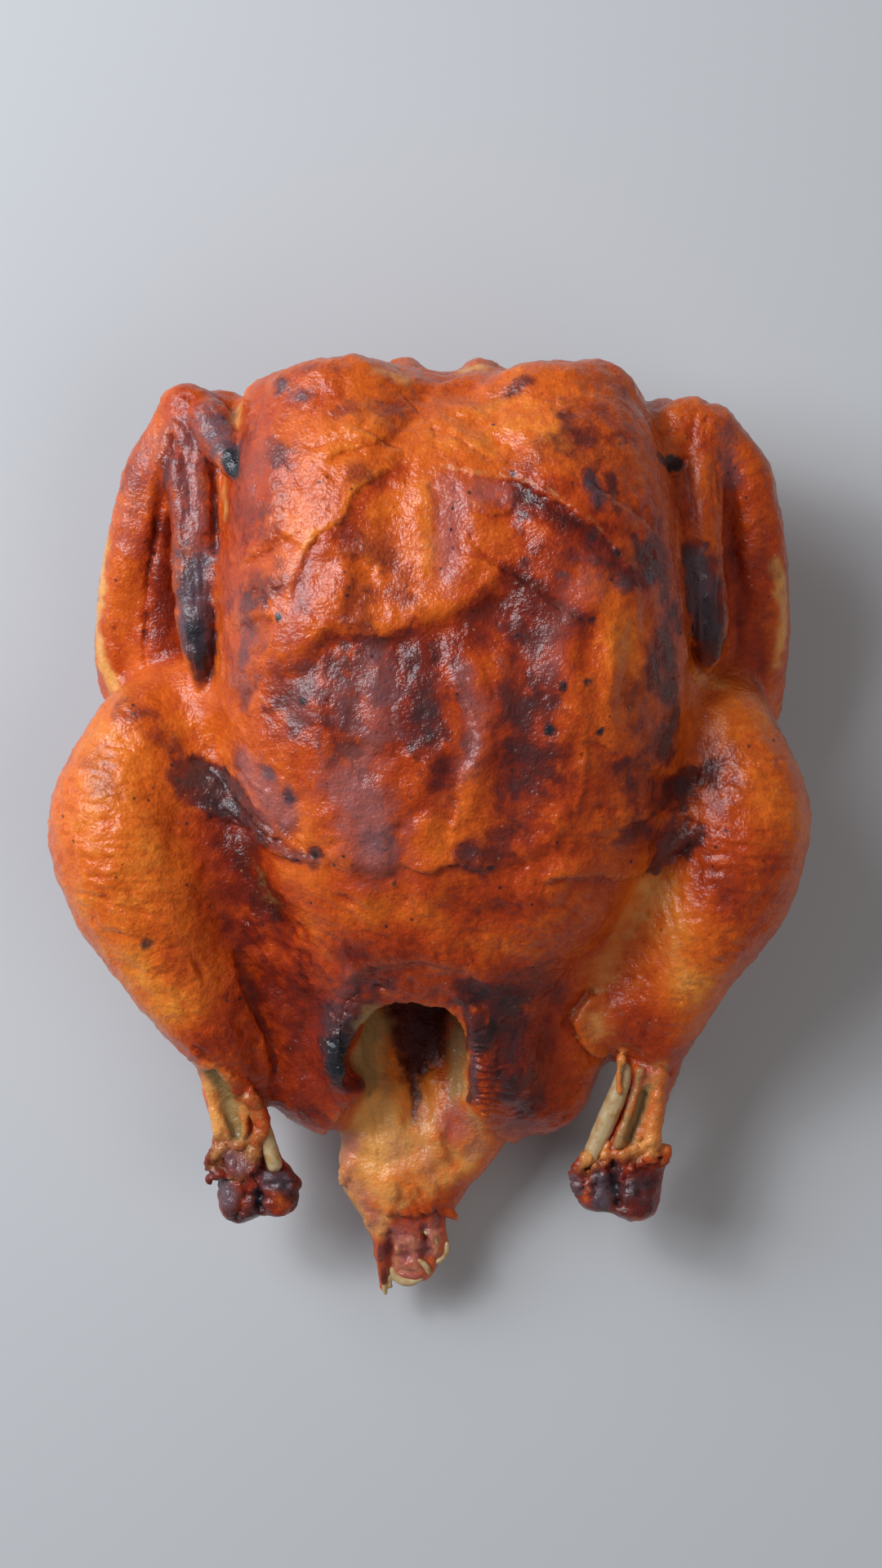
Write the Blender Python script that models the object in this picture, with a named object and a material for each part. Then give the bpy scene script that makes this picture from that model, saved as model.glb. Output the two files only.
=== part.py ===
"""A whole roast chicken, lying on its back with the breast up, as one solid.

Lengths below are in millimetres of a bird 200 mm across its legs, and UNIT turns them into metres.
+Z is up, +Y points to the neck end, and the legs, vent and tail point to -Y. LEFT is -X and RIGHT is +X,
as they look from above.
The flesh is laid up from masses, each a closed round body through a few stations. The large masses are
fused and smoothed as the skin would pull over them, then the fine ones (wings, shank bones, tail) are
fused on with less smoothing, the body cavity is cut, and the back is cut flat where it rests.
"""

import math

import bmesh
import bpy
from mathutils import Vector

# Driving dimensions, in metres.
LEG_SPAN = 0.200
UNIT = LEG_SPAN / 200.0

# How finely a mass is drawn.
RING_SIDES = 24
STEPS_PER_SPAN = 6
CAP_RINGS = 5

# The trunk's blunt ends, for add_mass.
BLUNT_REACH = 0.45
BLUNT_POWER = 3.2

# Voxels in the bird's millimetres, rounds of smoothing, and the share of faces that is kept.
FLESH_VOXEL = 2.2
FLESH_SMOOTHING = 12
FINE_VOXEL = 1.5
FINE_SMOOTHING = 3
KEPT_FACES = 0.063

# The block that cuts the back flat: half its width and its depth, in metres.
FLOOR_REACH = 0.3
FLOOR_DEPTH = 0.05

SKIN_COLOUR = (0.52, 0.15, 0.035, 1.0)

# Each station is (x, y, z, half width, half height) of a mass, at its middle.
# The trunk and the legs' flesh, which one skin covers.
CARCASS = [
    (4.5, 106, 43, 52.5, 28),
    (5, 92, 43, 55.5, 41),
    (6, 64, 44, 58, 49),
    (6, 34, 43, 59, 48),
    (4, 4, 40, 53, 44),
    (2, -22, 35, 47, 38),
    (2, -44, 27, 42, 29),
]
BREAST_LEFT = [
    (-21, 106, 52, 28.5, 27),
    (-20.5, 88, 55, 32, 35),
    (-20, 60, 56, 34, 38),
    (-18, 26, 54, 35, 37),
    (-14, -8, 50, 29, 31),
    (-7, -34, 44, 20, 21),
]
BREAST_RIGHT = [
    (29, 105, 52, 28, 27),
    (32, 88, 55, 32, 35),
    (33, 60, 56, 34, 38),
    (31, 26, 54, 36, 37),
    (24, -8, 50, 31, 31),
    (11, -34, 44, 20, 21),
]
KEEL = [
    (5, 100, 62, 20, 15),
    (6, 84, 79, 24, 12),
    (6, 60, 84, 25, 10),
    (6, 28, 83, 24, 10),
    (4, -8, 74, 18, 9),
]
HIP_LEFT = [
    (-32, -8, 26, 24, 25),
    (-32, -40, 24, 20, 23),
    (-28, -66, 22, 17, 17),
]
HIP_RIGHT = [
    (36, -8, 26, 26, 25),
    (34, -40, 24, 23, 23),
    (27, -68, 22, 18, 17),
]
VENT_RIM_LEFT = [
    (-13, -42, 52, 6, 6),
    (-21, -51, 48, 6, 7),
    (-23, -61, 43, 6, 7),
    (-20, -70, 35, 5, 6),
]
VENT_RIM_RIGHT = [
    (9, -43, 52, 6, 6),
    (19, -53, 48, 8, 7),
    (21, -65, 43, 8, 7),
    (18, -76, 34, 6, 6),
]
KNEE_SKIN_LEFT = [
    (-68, 30, 36, 14, 18),
    (-56, 32, 38, 16, 18),
    (-46, 30, 42, 16, 20),
]
KNEE_SKIN_RIGHT = [
    (76, 30, 36, 14, 18),
    (66, 32, 38, 16, 18),
    (56, 30, 42, 16, 20),
]
THIGH_LEFT = [
    (-30, -30, 30, 20, 22),
    (-52, -6, 33, 22, 24),
    (-68, 12, 39, 21, 22),
    (-72, 23, 43, 16, 18),
]
THIGH_RIGHT = [
    (34, -30, 30, 20, 22),
    (56, -6, 33, 22, 24),
    (72, 12, 39, 21, 22),
    (76.5, 23, 43, 16, 18),
]
DRUMSTICK_LEFT = [
    (-75, 24, 47, 14, 16),
    (-80, 3, 48, 19.3, 20),
    (-74, -18, 45, 20, 19),
    (-63.5, -40, 40, 15, 15.5),
    (-54.5, -58, 35, 10.5, 11.5),
    (-51, -71, 31, 8, 7.5),
]
DRUMSTICK_RIGHT = [
    (78.5, 24, 47, 14, 16),
    (82.7, 4, 48, 18.5, 20),
    (76.8, -16, 45, 19, 19),
    (67.2, -36, 39, 15, 15.5),
    (62.3, -51, 34, 11.5, 12),
    (60, -62, 31, 8.5, 9),
]
CALF_LOBE_RIGHT = [
    (58, -42, 38, 10, 11),
    (49, -52, 36, 7.5, 8),
]
PELVIS = [
    (1, -44, 18, 34, 20),
    (1, -66, 17, 29, 17),
    (0, -80, 17, 23, 12),
    (-4, -94, 17, 17, 9),
]

# Bones, tail and neck end, with little smoothing. Knuckles and bumps are single lumps.
SHANK_LEFT = [
    (-53, -70, 31, 8, 7),
    (-50.5, -80, 29, 6.8, 6),
    (-48.5, -90, 28, 7.5, 6),
]
SHANK_RIGHT = [
    (60.5, -62, 31, 8, 7.5),
    (57.5, -74, 30, 6.5, 6),
    (53.5, -88, 28, 7.5, 6),
]
KNUCKLES_LEFT = [
    (-50, -100, 26, 6.8, 7),
    (-40.5, -98.5, 28, 6.5, 6.5),
    (-49, -89, 28, 9.3, 6.5),
]
KNUCKLES_RIGHT = [
    (46, -97, 26, 6.6, 6.6),
    (56, -98.5, 28, 7, 7),
    (52, -89, 28, 10, 6.5),
    (61, -90, 28, 4.5, 4),
]
TAIL = [
    (-1.5, -83, 19, 20.5, 9),
    (-5.5, -91, 18, 19, 9),
    (-6.5, -100, 16, 17.3, 8),
    (-7, -109, 14, 11.5, 6),
]
TAIL_BONE = [
    (-3, -113, 14, 7, 4.5),
    (-3.5, -122, 13, 6, 3.5),
]
TAIL_QUILL = [
    (-13, -110, 14, 3.2, 3),
    (-13, -119, 13, 2.3, 2.2),
    (-12, -128.5, 12, 2, 1.9),
]
NECK_BUMPS = [
    (-6, 116, 48, 6, 8),
    (14, 116.5, 48, 6, 8),
]

# The wings, folded with the hand laid back over the forearm.
WING_SKIN_LEFT = [
    (-54, 107, 44, 9, 8),
    (-64, 94, 43, 9, 8),
    (-70, 76, 40, 11, 8),
    (-70, 52, 35, 12, 10),
    (-66, 40, 32, 12, 10),
]
WING_SKIN_RIGHT = [
    (62, 105, 44, 8, 8),
    (73, 92, 43, 9, 8),
    (79, 74, 40, 11, 8),
    (78, 54, 36, 15, 9),
    (74, 40, 33, 14, 10),
]
UPPER_WING_LEFT = [
    (-46, 94, 46, 12, 13),
    (-62, 72, 37, 11, 12),
    (-71, 52, 30, 11, 11),
    (-76, 42, 27, 9, 10),
]
FOREARM_LEFT = [
    (-80, 38, 28, 8.3, 8),
    (-81, 55, 34, 8, 8.5),
    (-77.5, 75, 42, 7.5, 8),
    (-72, 95, 48, 6.5, 7),
    (-64, 109, 50, 5.5, 6),
]
HAND_LEFT = [
    (-64, 110.5, 52, 6, 6),
    (-62.5, 96, 55, 6.8, 5),
    (-61, 82, 57, 6.2, 5),
    (-60.5, 66, 57, 6.2, 5),
    (-59.7, 52, 56, 4.2, 3.6),
    (-58.2, 39, 55, 1.4, 1.2),
]
THUMB_LEFT = [
    (-60, 110, 53, 5.5, 5),
    (-55.5, 103, 55, 5, 4.5),
    (-52, 95, 54, 3.6, 3.2),
]
UPPER_WING_RIGHT = [
    (57, 94, 46, 12, 13),
    (72, 70, 37, 11, 12),
    (80, 50, 30, 11, 11),
    (83, 38, 27, 9, 10),
]
FOREARM_RIGHT = [
    (87.3, 33, 28, 8.5, 8),
    (88.8, 50, 34, 8, 8.5),
    (87.8, 70, 42, 7.7, 8),
    (84, 91, 48, 6.8, 7),
    (76, 105.5, 50, 6, 6),
]
HAND_RIGHT = [
    (72.5, 104.5, 52, 6.5, 6),
    (71, 92, 55, 6.4, 5),
    (71.3, 74, 57, 5.8, 5),
    (72, 58, 57, 4.8, 4.2),
    (72.7, 43.5, 55, 1.4, 1.2),
]
THUMB_RIGHT = [
    (69.5, 107.5, 52, 5.5, 5),
    (64, 104, 54, 5, 4.5),
    (61.5, 98, 53, 3.6, 3.2),
]

# The body cavity, from behind the vent forward to its blind end.
CAVITY = [
    (-2, -100, 47, 14, 18),
    (-2, -78, 44, 14, 17.5),
    (-3, -60, 41, 16, 19),
    (-3, -46, 39, 16.5, 18),
    (0, -15, 37, 20, 17),
    (4, 22, 38, 18, 14),
]


def clear_scene():
    for old in list(bpy.data.objects):
        bpy.data.objects.remove(old)


def between(before, start, end, after, share):
    """A Catmull-Rom curve's value from start to end."""
    square, cube = share * share, share * share * share
    return [
        0.5 * (2 * b + (c - a) * share + (2 * a - 5 * b + 4 * c - d) * square + (3 * b - a - 3 * c + d) * cube)
        for a, b, c, d in zip(before, start, end, after)
    ]


def smooth_stations(stations):
    """The stations, with more of them read from a smooth curve through them."""
    first = [2 * a - b for a, b in zip(stations[0], stations[1])]
    last = [2 * a - b for a, b in zip(stations[-1], stations[-2])]
    first[3:], last[3:] = stations[0][3:], stations[-1][3:]
    points = [first, *stations, last]
    made = []
    for i in range(1, len(points) - 2):
        for step in range(STEPS_PER_SPAN):
            made.append(between(*points[i - 1 : i + 3], step / STEPS_PER_SPAN))
    made.append(list(stations[-1]))
    return made


def add_ring(bm, centre, along, half_width, half_height):
    """A ring of vertices across the direction along, its width kept level."""
    side = along.cross(Vector((0, 0, 1))).normalized()
    upward = side.cross(along).normalized()
    ring = []
    for i in range(RING_SIDES):
        angle = 2 * math.pi * i / RING_SIDES
        across = side * (half_width * math.cos(angle))
        ring.append(bm.verts.new((centre + across + upward * (half_height * math.sin(angle))) * UNIT))
    return ring


def add_mass(bm, stations, dome_reach=1.0, dome_power=2.0):
    """A closed round body through the stations, with domed ends.

    dome_reach is a dome's length over the end's smaller radius. Above 2, dome_power squares its shoulders.
    """
    path = smooth_stations(stations)
    centres = [Vector(p[:3]) for p in path]
    rings = []
    for end in (0, -1):
        neighbour = 1 if end == 0 else -2
        outward = (centres[end] - centres[neighbour]).normalized()
        forward = -outward if end == 0 else outward
        half_width, half_height = path[end][3:]
        dome = []
        for i in range(1, CAP_RINGS):
            angle = 0.5 * math.pi * i / CAP_RINGS
            reach = dome_reach * min(half_width, half_height) * math.sin(angle) ** (2 / dome_power)
            centre = centres[end] + outward * reach
            share = math.cos(angle) ** (2 / dome_power)
            dome.append(add_ring(bm, centre, forward, half_width * share, half_height * share))
        if end == 0:
            rings.extend(reversed(dome))
            for i, point in enumerate(path):
                along = (centres[min(i + 1, len(path) - 1)] - centres[max(i - 1, 0)]).normalized()
                rings.append(add_ring(bm, centres[i], along, *point[3:]))
        else:
            rings.extend(dome)
    for ring, following in zip(rings, rings[1:]):
        for i in range(RING_SIDES):
            j = (i + 1) % RING_SIDES
            bm.faces.new((ring[i], ring[j], following[j], following[i]))
    bm.faces.new(list(reversed(rings[0])))
    bm.faces.new(rings[-1])


def add_ball(bm, place):
    """A round lump, a little longer than it is wide."""
    x, y, z, half_width, half_height = place
    add_mass(bm, [(x, y + 1, z, half_width, half_height), (x, y - 1, z, half_width, half_height)])


def new_object(name, bm):
    bmesh.ops.recalc_face_normals(bm, faces=bm.faces)
    mesh = bpy.data.meshes.new(name)
    bm.to_mesh(mesh)
    bm.free()
    made = bpy.data.objects.new(name, mesh)
    bpy.context.scene.collection.objects.link(made)
    return made


def add_remesh(target, voxel):
    modifier = target.modifiers.new("fuse", "REMESH")
    modifier.mode = "VOXEL"
    modifier.voxel_size = voxel * UNIT
    modifier.use_smooth_shade = True


def add_smoothing(target, rounds):
    modifier = target.modifiers.new("pull", "SMOOTH")
    modifier.factor = 0.5
    modifier.iterations = rounds


def add_cut(target, cutter):
    cutter.hide_render = True
    cutter.display_type = "WIRE"
    modifier = target.modifiers.new("cut", "BOOLEAN")
    modifier.operation = "DIFFERENCE"
    modifier.object = cutter


def evaluated_mesh(target):
    """The object's mesh with its modifiers worked in."""
    graph = bpy.context.evaluated_depsgraph_get()
    return bpy.data.meshes.new_from_object(target.evaluated_get(graph))


def fused_flesh():
    """The breast, thighs, drumsticks, hips and pelvis as one smooth mesh."""
    bm = bmesh.new()
    for stations in (CARCASS, BREAST_LEFT, BREAST_RIGHT):
        add_mass(bm, stations, BLUNT_REACH, BLUNT_POWER)
    for stations in (KEEL, PELVIS, HIP_LEFT, HIP_RIGHT, VENT_RIM_LEFT, VENT_RIM_RIGHT):
        add_mass(bm, stations)
    for stations in (THIGH_LEFT, DRUMSTICK_LEFT, KNEE_SKIN_LEFT):
        add_mass(bm, stations)
    for stations in (THIGH_RIGHT, DRUMSTICK_RIGHT, KNEE_SKIN_RIGHT, CALF_LOBE_RIGHT):
        add_mass(bm, stations)
    flesh = new_object("flesh", bm)
    add_remesh(flesh, FLESH_VOXEL)
    add_smoothing(flesh, FLESH_SMOOTHING)
    mesh = evaluated_mesh(flesh)
    bpy.data.objects.remove(flesh)
    return mesh


def add_fine_masses(bm):
    """The wings, shank bones with their knuckles, tail and neck bumps."""
    for stations in (SHANK_LEFT, SHANK_RIGHT, TAIL, TAIL_BONE, TAIL_QUILL):
        add_mass(bm, stations)
    for stations in (WING_SKIN_LEFT, UPPER_WING_LEFT, FOREARM_LEFT, HAND_LEFT, THUMB_LEFT):
        add_mass(bm, stations)
    for stations in (WING_SKIN_RIGHT, UPPER_WING_RIGHT, FOREARM_RIGHT, HAND_RIGHT, THUMB_RIGHT):
        add_mass(bm, stations)
    for place in KNUCKLES_LEFT + KNUCKLES_RIGHT + NECK_BUMPS:
        add_ball(bm, place)


def cavity_cutter():
    bm = bmesh.new()
    add_mass(bm, CAVITY)
    return new_object("cavity_cutter", bm)


def floor_cutter():
    """A block under the level that the back rests on."""
    bm = bmesh.new()
    bmesh.ops.create_cube(bm, size=1)
    bmesh.ops.scale(bm, vec=(FLOOR_REACH * 2, FLOOR_REACH * 2, FLOOR_DEPTH), verts=bm.verts)
    bmesh.ops.translate(bm, vec=(0, 0, -FLOOR_DEPTH / 2), verts=bm.verts)
    return new_object("floor_cutter", bm)


def skin_material():
    material = bpy.data.materials.new("roast_skin")
    material.use_nodes = True
    shader = material.node_tree.nodes["Principled BSDF"]
    shader.inputs["Base Color"].default_value = SKIN_COLOUR
    shader.inputs["Roughness"].default_value = 0.38
    shader.inputs["Metallic"].default_value = 0.0
    return material


def centre_on_floor(target):
    """Moves the mesh so that the middle of its box stands over the origin."""
    graph = bpy.context.evaluated_depsgraph_get()
    corners = [Vector(c) for c in target.evaluated_get(graph).bound_box]
    for axis in (0, 1):
        target.location[axis] = -0.5 * (min(c[axis] for c in corners) + max(c[axis] for c in corners))


def chicken():
    bm = bmesh.new()
    flesh = fused_flesh()
    bm.from_mesh(flesh)
    add_fine_masses(bm)
    bird = new_object("chicken", bm)
    add_remesh(bird, FINE_VOXEL)
    add_cut(bird, cavity_cutter())
    add_remesh(bird, FINE_VOXEL)
    add_smoothing(bird, FINE_SMOOTHING)
    thin = bird.modifiers.new("thin_out", "DECIMATE")
    thin.ratio = KEPT_FACES
    add_cut(bird, floor_cutter())
    bird.data.materials.append(skin_material())
    centre_on_floor(bird)
    return bird


clear_scene()
chicken()
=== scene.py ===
"""The looks of a whole roast chicken, lying on its back with the breast up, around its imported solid.

Places and lengths are in millimetres of a bird 199.4 mm across its legs, and MM turns them into metres.
+Z is up, +Y points to the neck end, and the legs, vent and tail point to -Y. Left is -X and right is
+X, as they look from above.
The solid's surface is copied and thin masses are fused on. The skin is then drawn over it: folds and
torn edges along routes, wrinkles that run across or along them, and grain. Browning, char, fat and bone
are soft masks on the same routes, and the skin's material reads them.
"""

import itertools
import math

import bmesh
import bpy
import numpy as np
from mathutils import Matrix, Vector
from mathutils.bvhtree import BVHTree


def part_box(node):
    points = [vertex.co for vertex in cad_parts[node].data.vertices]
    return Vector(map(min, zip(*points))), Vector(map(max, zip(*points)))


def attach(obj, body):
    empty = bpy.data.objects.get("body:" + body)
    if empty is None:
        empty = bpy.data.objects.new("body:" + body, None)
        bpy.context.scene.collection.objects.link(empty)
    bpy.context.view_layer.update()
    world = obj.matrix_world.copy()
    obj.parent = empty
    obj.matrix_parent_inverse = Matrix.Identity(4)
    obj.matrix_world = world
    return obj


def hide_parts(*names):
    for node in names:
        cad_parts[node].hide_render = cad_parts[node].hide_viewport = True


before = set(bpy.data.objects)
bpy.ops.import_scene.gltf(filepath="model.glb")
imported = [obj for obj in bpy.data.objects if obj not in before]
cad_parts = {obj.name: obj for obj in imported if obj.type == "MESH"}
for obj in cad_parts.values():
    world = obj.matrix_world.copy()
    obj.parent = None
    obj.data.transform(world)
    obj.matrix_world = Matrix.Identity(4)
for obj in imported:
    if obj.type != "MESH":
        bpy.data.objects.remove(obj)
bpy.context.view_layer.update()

BIRD = "chicken"
BIRD_WIDTH = 199.4
low_corner, high_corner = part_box(BIRD)
MM = (high_corner.x - low_corner.x) / BIRD_WIDTH

# How finely the masses, the skin and the bare bone are drawn, in millimetres, how many rounds of
# smoothing each has, and the most triangles the skin keeps.
FORM_VOXEL = 1.3
FORM_SMOOTHING = 6
SKIN_VOXEL = 0.6
SKIN_SMOOTHING = 4
MOST_TRIANGLES = 197000
BONE_VOXEL = 0.35
BONE_SMOOTHING = 4
# A strand's sides, and its rings from one station to the next.
STRAND_SIDES = 12
STRAND_RINGS = 4
# Corners of the solid that are this near to each other are one.
WELD = 0.001
# How far apart a route's points are, the height they are laid from, and the height near which they look
# for the surface where there is none below.
ROUTE_STEP = 1.0
LAYING_HEIGHT = 300
MIDDLE_HEIGHT = 40


# ---------------------------------------------------------------- points, noise and routes


def read_points(mesh):
    """A mesh's vertices, in the bird's millimetres."""
    flat = np.empty(len(mesh.vertices) * 3, np.float32)
    mesh.vertices.foreach_get("co", flat)
    return flat.reshape(-1, 3).astype(float) / MM


def write_points(mesh, points):
    """Moves a mesh's vertices to points in the bird's millimetres."""
    mesh.vertices.foreach_set("co", (points * MM).astype(np.float32).ravel())
    mesh.update()


def read_normals(mesh):
    """The direction that faces out at each vertex."""
    flat = np.empty(len(mesh.vertices) * 3, np.float32)
    mesh.vertices.foreach_get("normal", flat)
    return flat.reshape(-1, 3).astype(float)


def read_edges(mesh):
    """The two vertices of each edge."""
    flat = np.empty(len(mesh.edges) * 2, np.int32)
    mesh.edges.foreach_get("vertices", flat)
    return flat.reshape(-1, 2)


def eased(low, high, value):
    """0 up to low, 1 from high on, and a smooth step between. Low may be above high."""
    share = np.clip((value - low) / (high - low), 0, 1)
    return share * share * (3 - 2 * share)


def hashed(corners, seed):
    """Repeatable bits for each whole-numbered corner."""
    x, y, z = (corners[:, k].astype(np.uint64) for k in range(3))
    bits = x * np.uint64(0x9E3779B97F4A7C15)
    bits ^= y * np.uint64(0xC2B2AE3D27D4EB4F)
    bits ^= z * np.uint64(0x165667B19E3779F9)
    bits ^= np.uint64(seed * 0x27D4EB2F)
    bits = (bits ^ (bits >> np.uint64(29))) * np.uint64(0xBF58476D1CE4E5B9)
    return bits ^ (bits >> np.uint64(32))


def noise(places, cell, seed):
    """Smooth repeatable noise, about -1 to 1, whose swells are about cell wide."""
    scaled = places / cell
    base = np.floor(scaled).astype(np.int64)
    part = scaled - base
    ease = part**3 * (part * (part * 6 - 15) + 10)
    total = np.zeros(len(places))
    for corner in itertools.product((0, 1), repeat=3):
        bits = hashed(base + corner, seed)
        away = part - corner
        weight = np.ones(len(places))
        slope = np.zeros(len(places))
        for axis in range(3):
            weight *= ease[:, axis] if corner[axis] else 1 - ease[:, axis]
            lean = (bits >> np.uint64(16 * axis) & np.uint64(0xFFFF)).astype(float) / 32767.5 - 1
            slope += lean * away[:, axis]
        total += weight * slope
    return total * 1.5


def grain(places, across, width, length, seed):
    """Noise drawn out into wrinkles: width mm in the direction across, length mm in the others."""
    across = np.array(across, float)
    across /= np.linalg.norm(across)
    along = places @ across
    drawn = places / length + np.outer(along * (1 / width - 1 / length), across)
    return noise(drawn, 1.0, seed)


def creased(value):
    """Noise made into sharp crests with rounded hollows between them, about -1 to 1."""
    return 1 - 2 * np.abs(value)


class Ground:
    """The bird's surface, on which routes are laid from above."""

    def __init__(self, mesh):
        corners = [v.co / MM for v in mesh.vertices]
        faces = [tuple(p.vertices) for p in mesh.polygons]
        self.tree = BVHTree.FromPolygons(corners, faces)

    def height(self, x, y):
        """The surface's height at a place, or that of the nearest surface where there is none below."""
        hit = self.tree.ray_cast(Vector((x, y, LAYING_HEIGHT)), Vector((0, 0, -1)))[0]
        if hit is None:
            hit = self.tree.find_nearest(Vector((x, y, MIDDLE_HEIGHT)))[0]
        return hit.z

    def route(self, places):
        """Points ROUTE_STEP apart on a smooth line over the surface through the (x, y) places."""
        if len(places) == 1:
            x, y = places[0]
            return np.array([(x, y, self.height(x, y))])
        ends = [np.array(p, float) for p in places]
        ends = [2 * ends[0] - ends[1], *ends, 2 * ends[-1] - ends[-2]]
        made = []
        for before, start, end, after in zip(ends, ends[1:], ends[2:], ends[3:]):
            steps = max(1, round(float(np.linalg.norm(end - start)) / ROUTE_STEP))
            for step in range(steps):
                made.append(between(before, start, end, after, step / steps))
        made.append(ends[-2])
        return np.array([(x, y, self.height(x, y)) for x, y in made])


def between(before, start, end, after, share):
    """A Catmull-Rom curve's point from start to end."""
    straight = (end - before) * share
    bend = (2 * before - 5 * start + 4 * end - after) * share**2
    twist = (3 * start - before - 3 * end + after) * share**3
    return start + 0.5 * (straight + bend + twist)


class Near:
    """The places within reach of a route: how far off it, on which side and how far along it they are."""

    def __init__(self, places, path, reach):
        low = path.min(0) - reach
        high = path.max(0) + reach
        self.which = np.flatnonzero(np.all((places > low) & (places < high), axis=1))
        here = places[self.which]
        best = np.full(len(here), np.inf)
        index = np.zeros(len(here), int)
        for k, point in enumerate(path):
            gap = ((here - point) ** 2).sum(1)
            closer = gap < best
            best[closer] = gap[closer]
            index[closer] = k
        heading = np.gradient(path, axis=0) if len(path) > 1 else np.array([[1.0, 0, 0]])
        heading[:, 2] = 0
        heading /= np.linalg.norm(heading, axis=1)[:, None] + 1e-9
        ahead = heading[index]
        away = here - path[index]
        cross = ahead[:, 0] * away[:, 1] - ahead[:, 1] * away[:, 0]
        self.distance = np.sqrt(best)
        self.offset = np.where(cross >= 0, self.distance, -self.distance)
        self.share = index / max(1, len(path) - 1)
        self.along = index * ROUTE_STEP + (ahead * away).sum(1)
        self.left = np.stack([-ahead[:, 1], ahead[:, 0], np.zeros(len(here))], axis=1)

    def tapered(self, ends):
        """1 along the middle of the route, falling to 0 over the share ends at each end."""
        return eased(0, ends, self.share) * eased(0, ends, 1 - self.share)


# ---------------------------------------------------------------- the masses of the form

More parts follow.
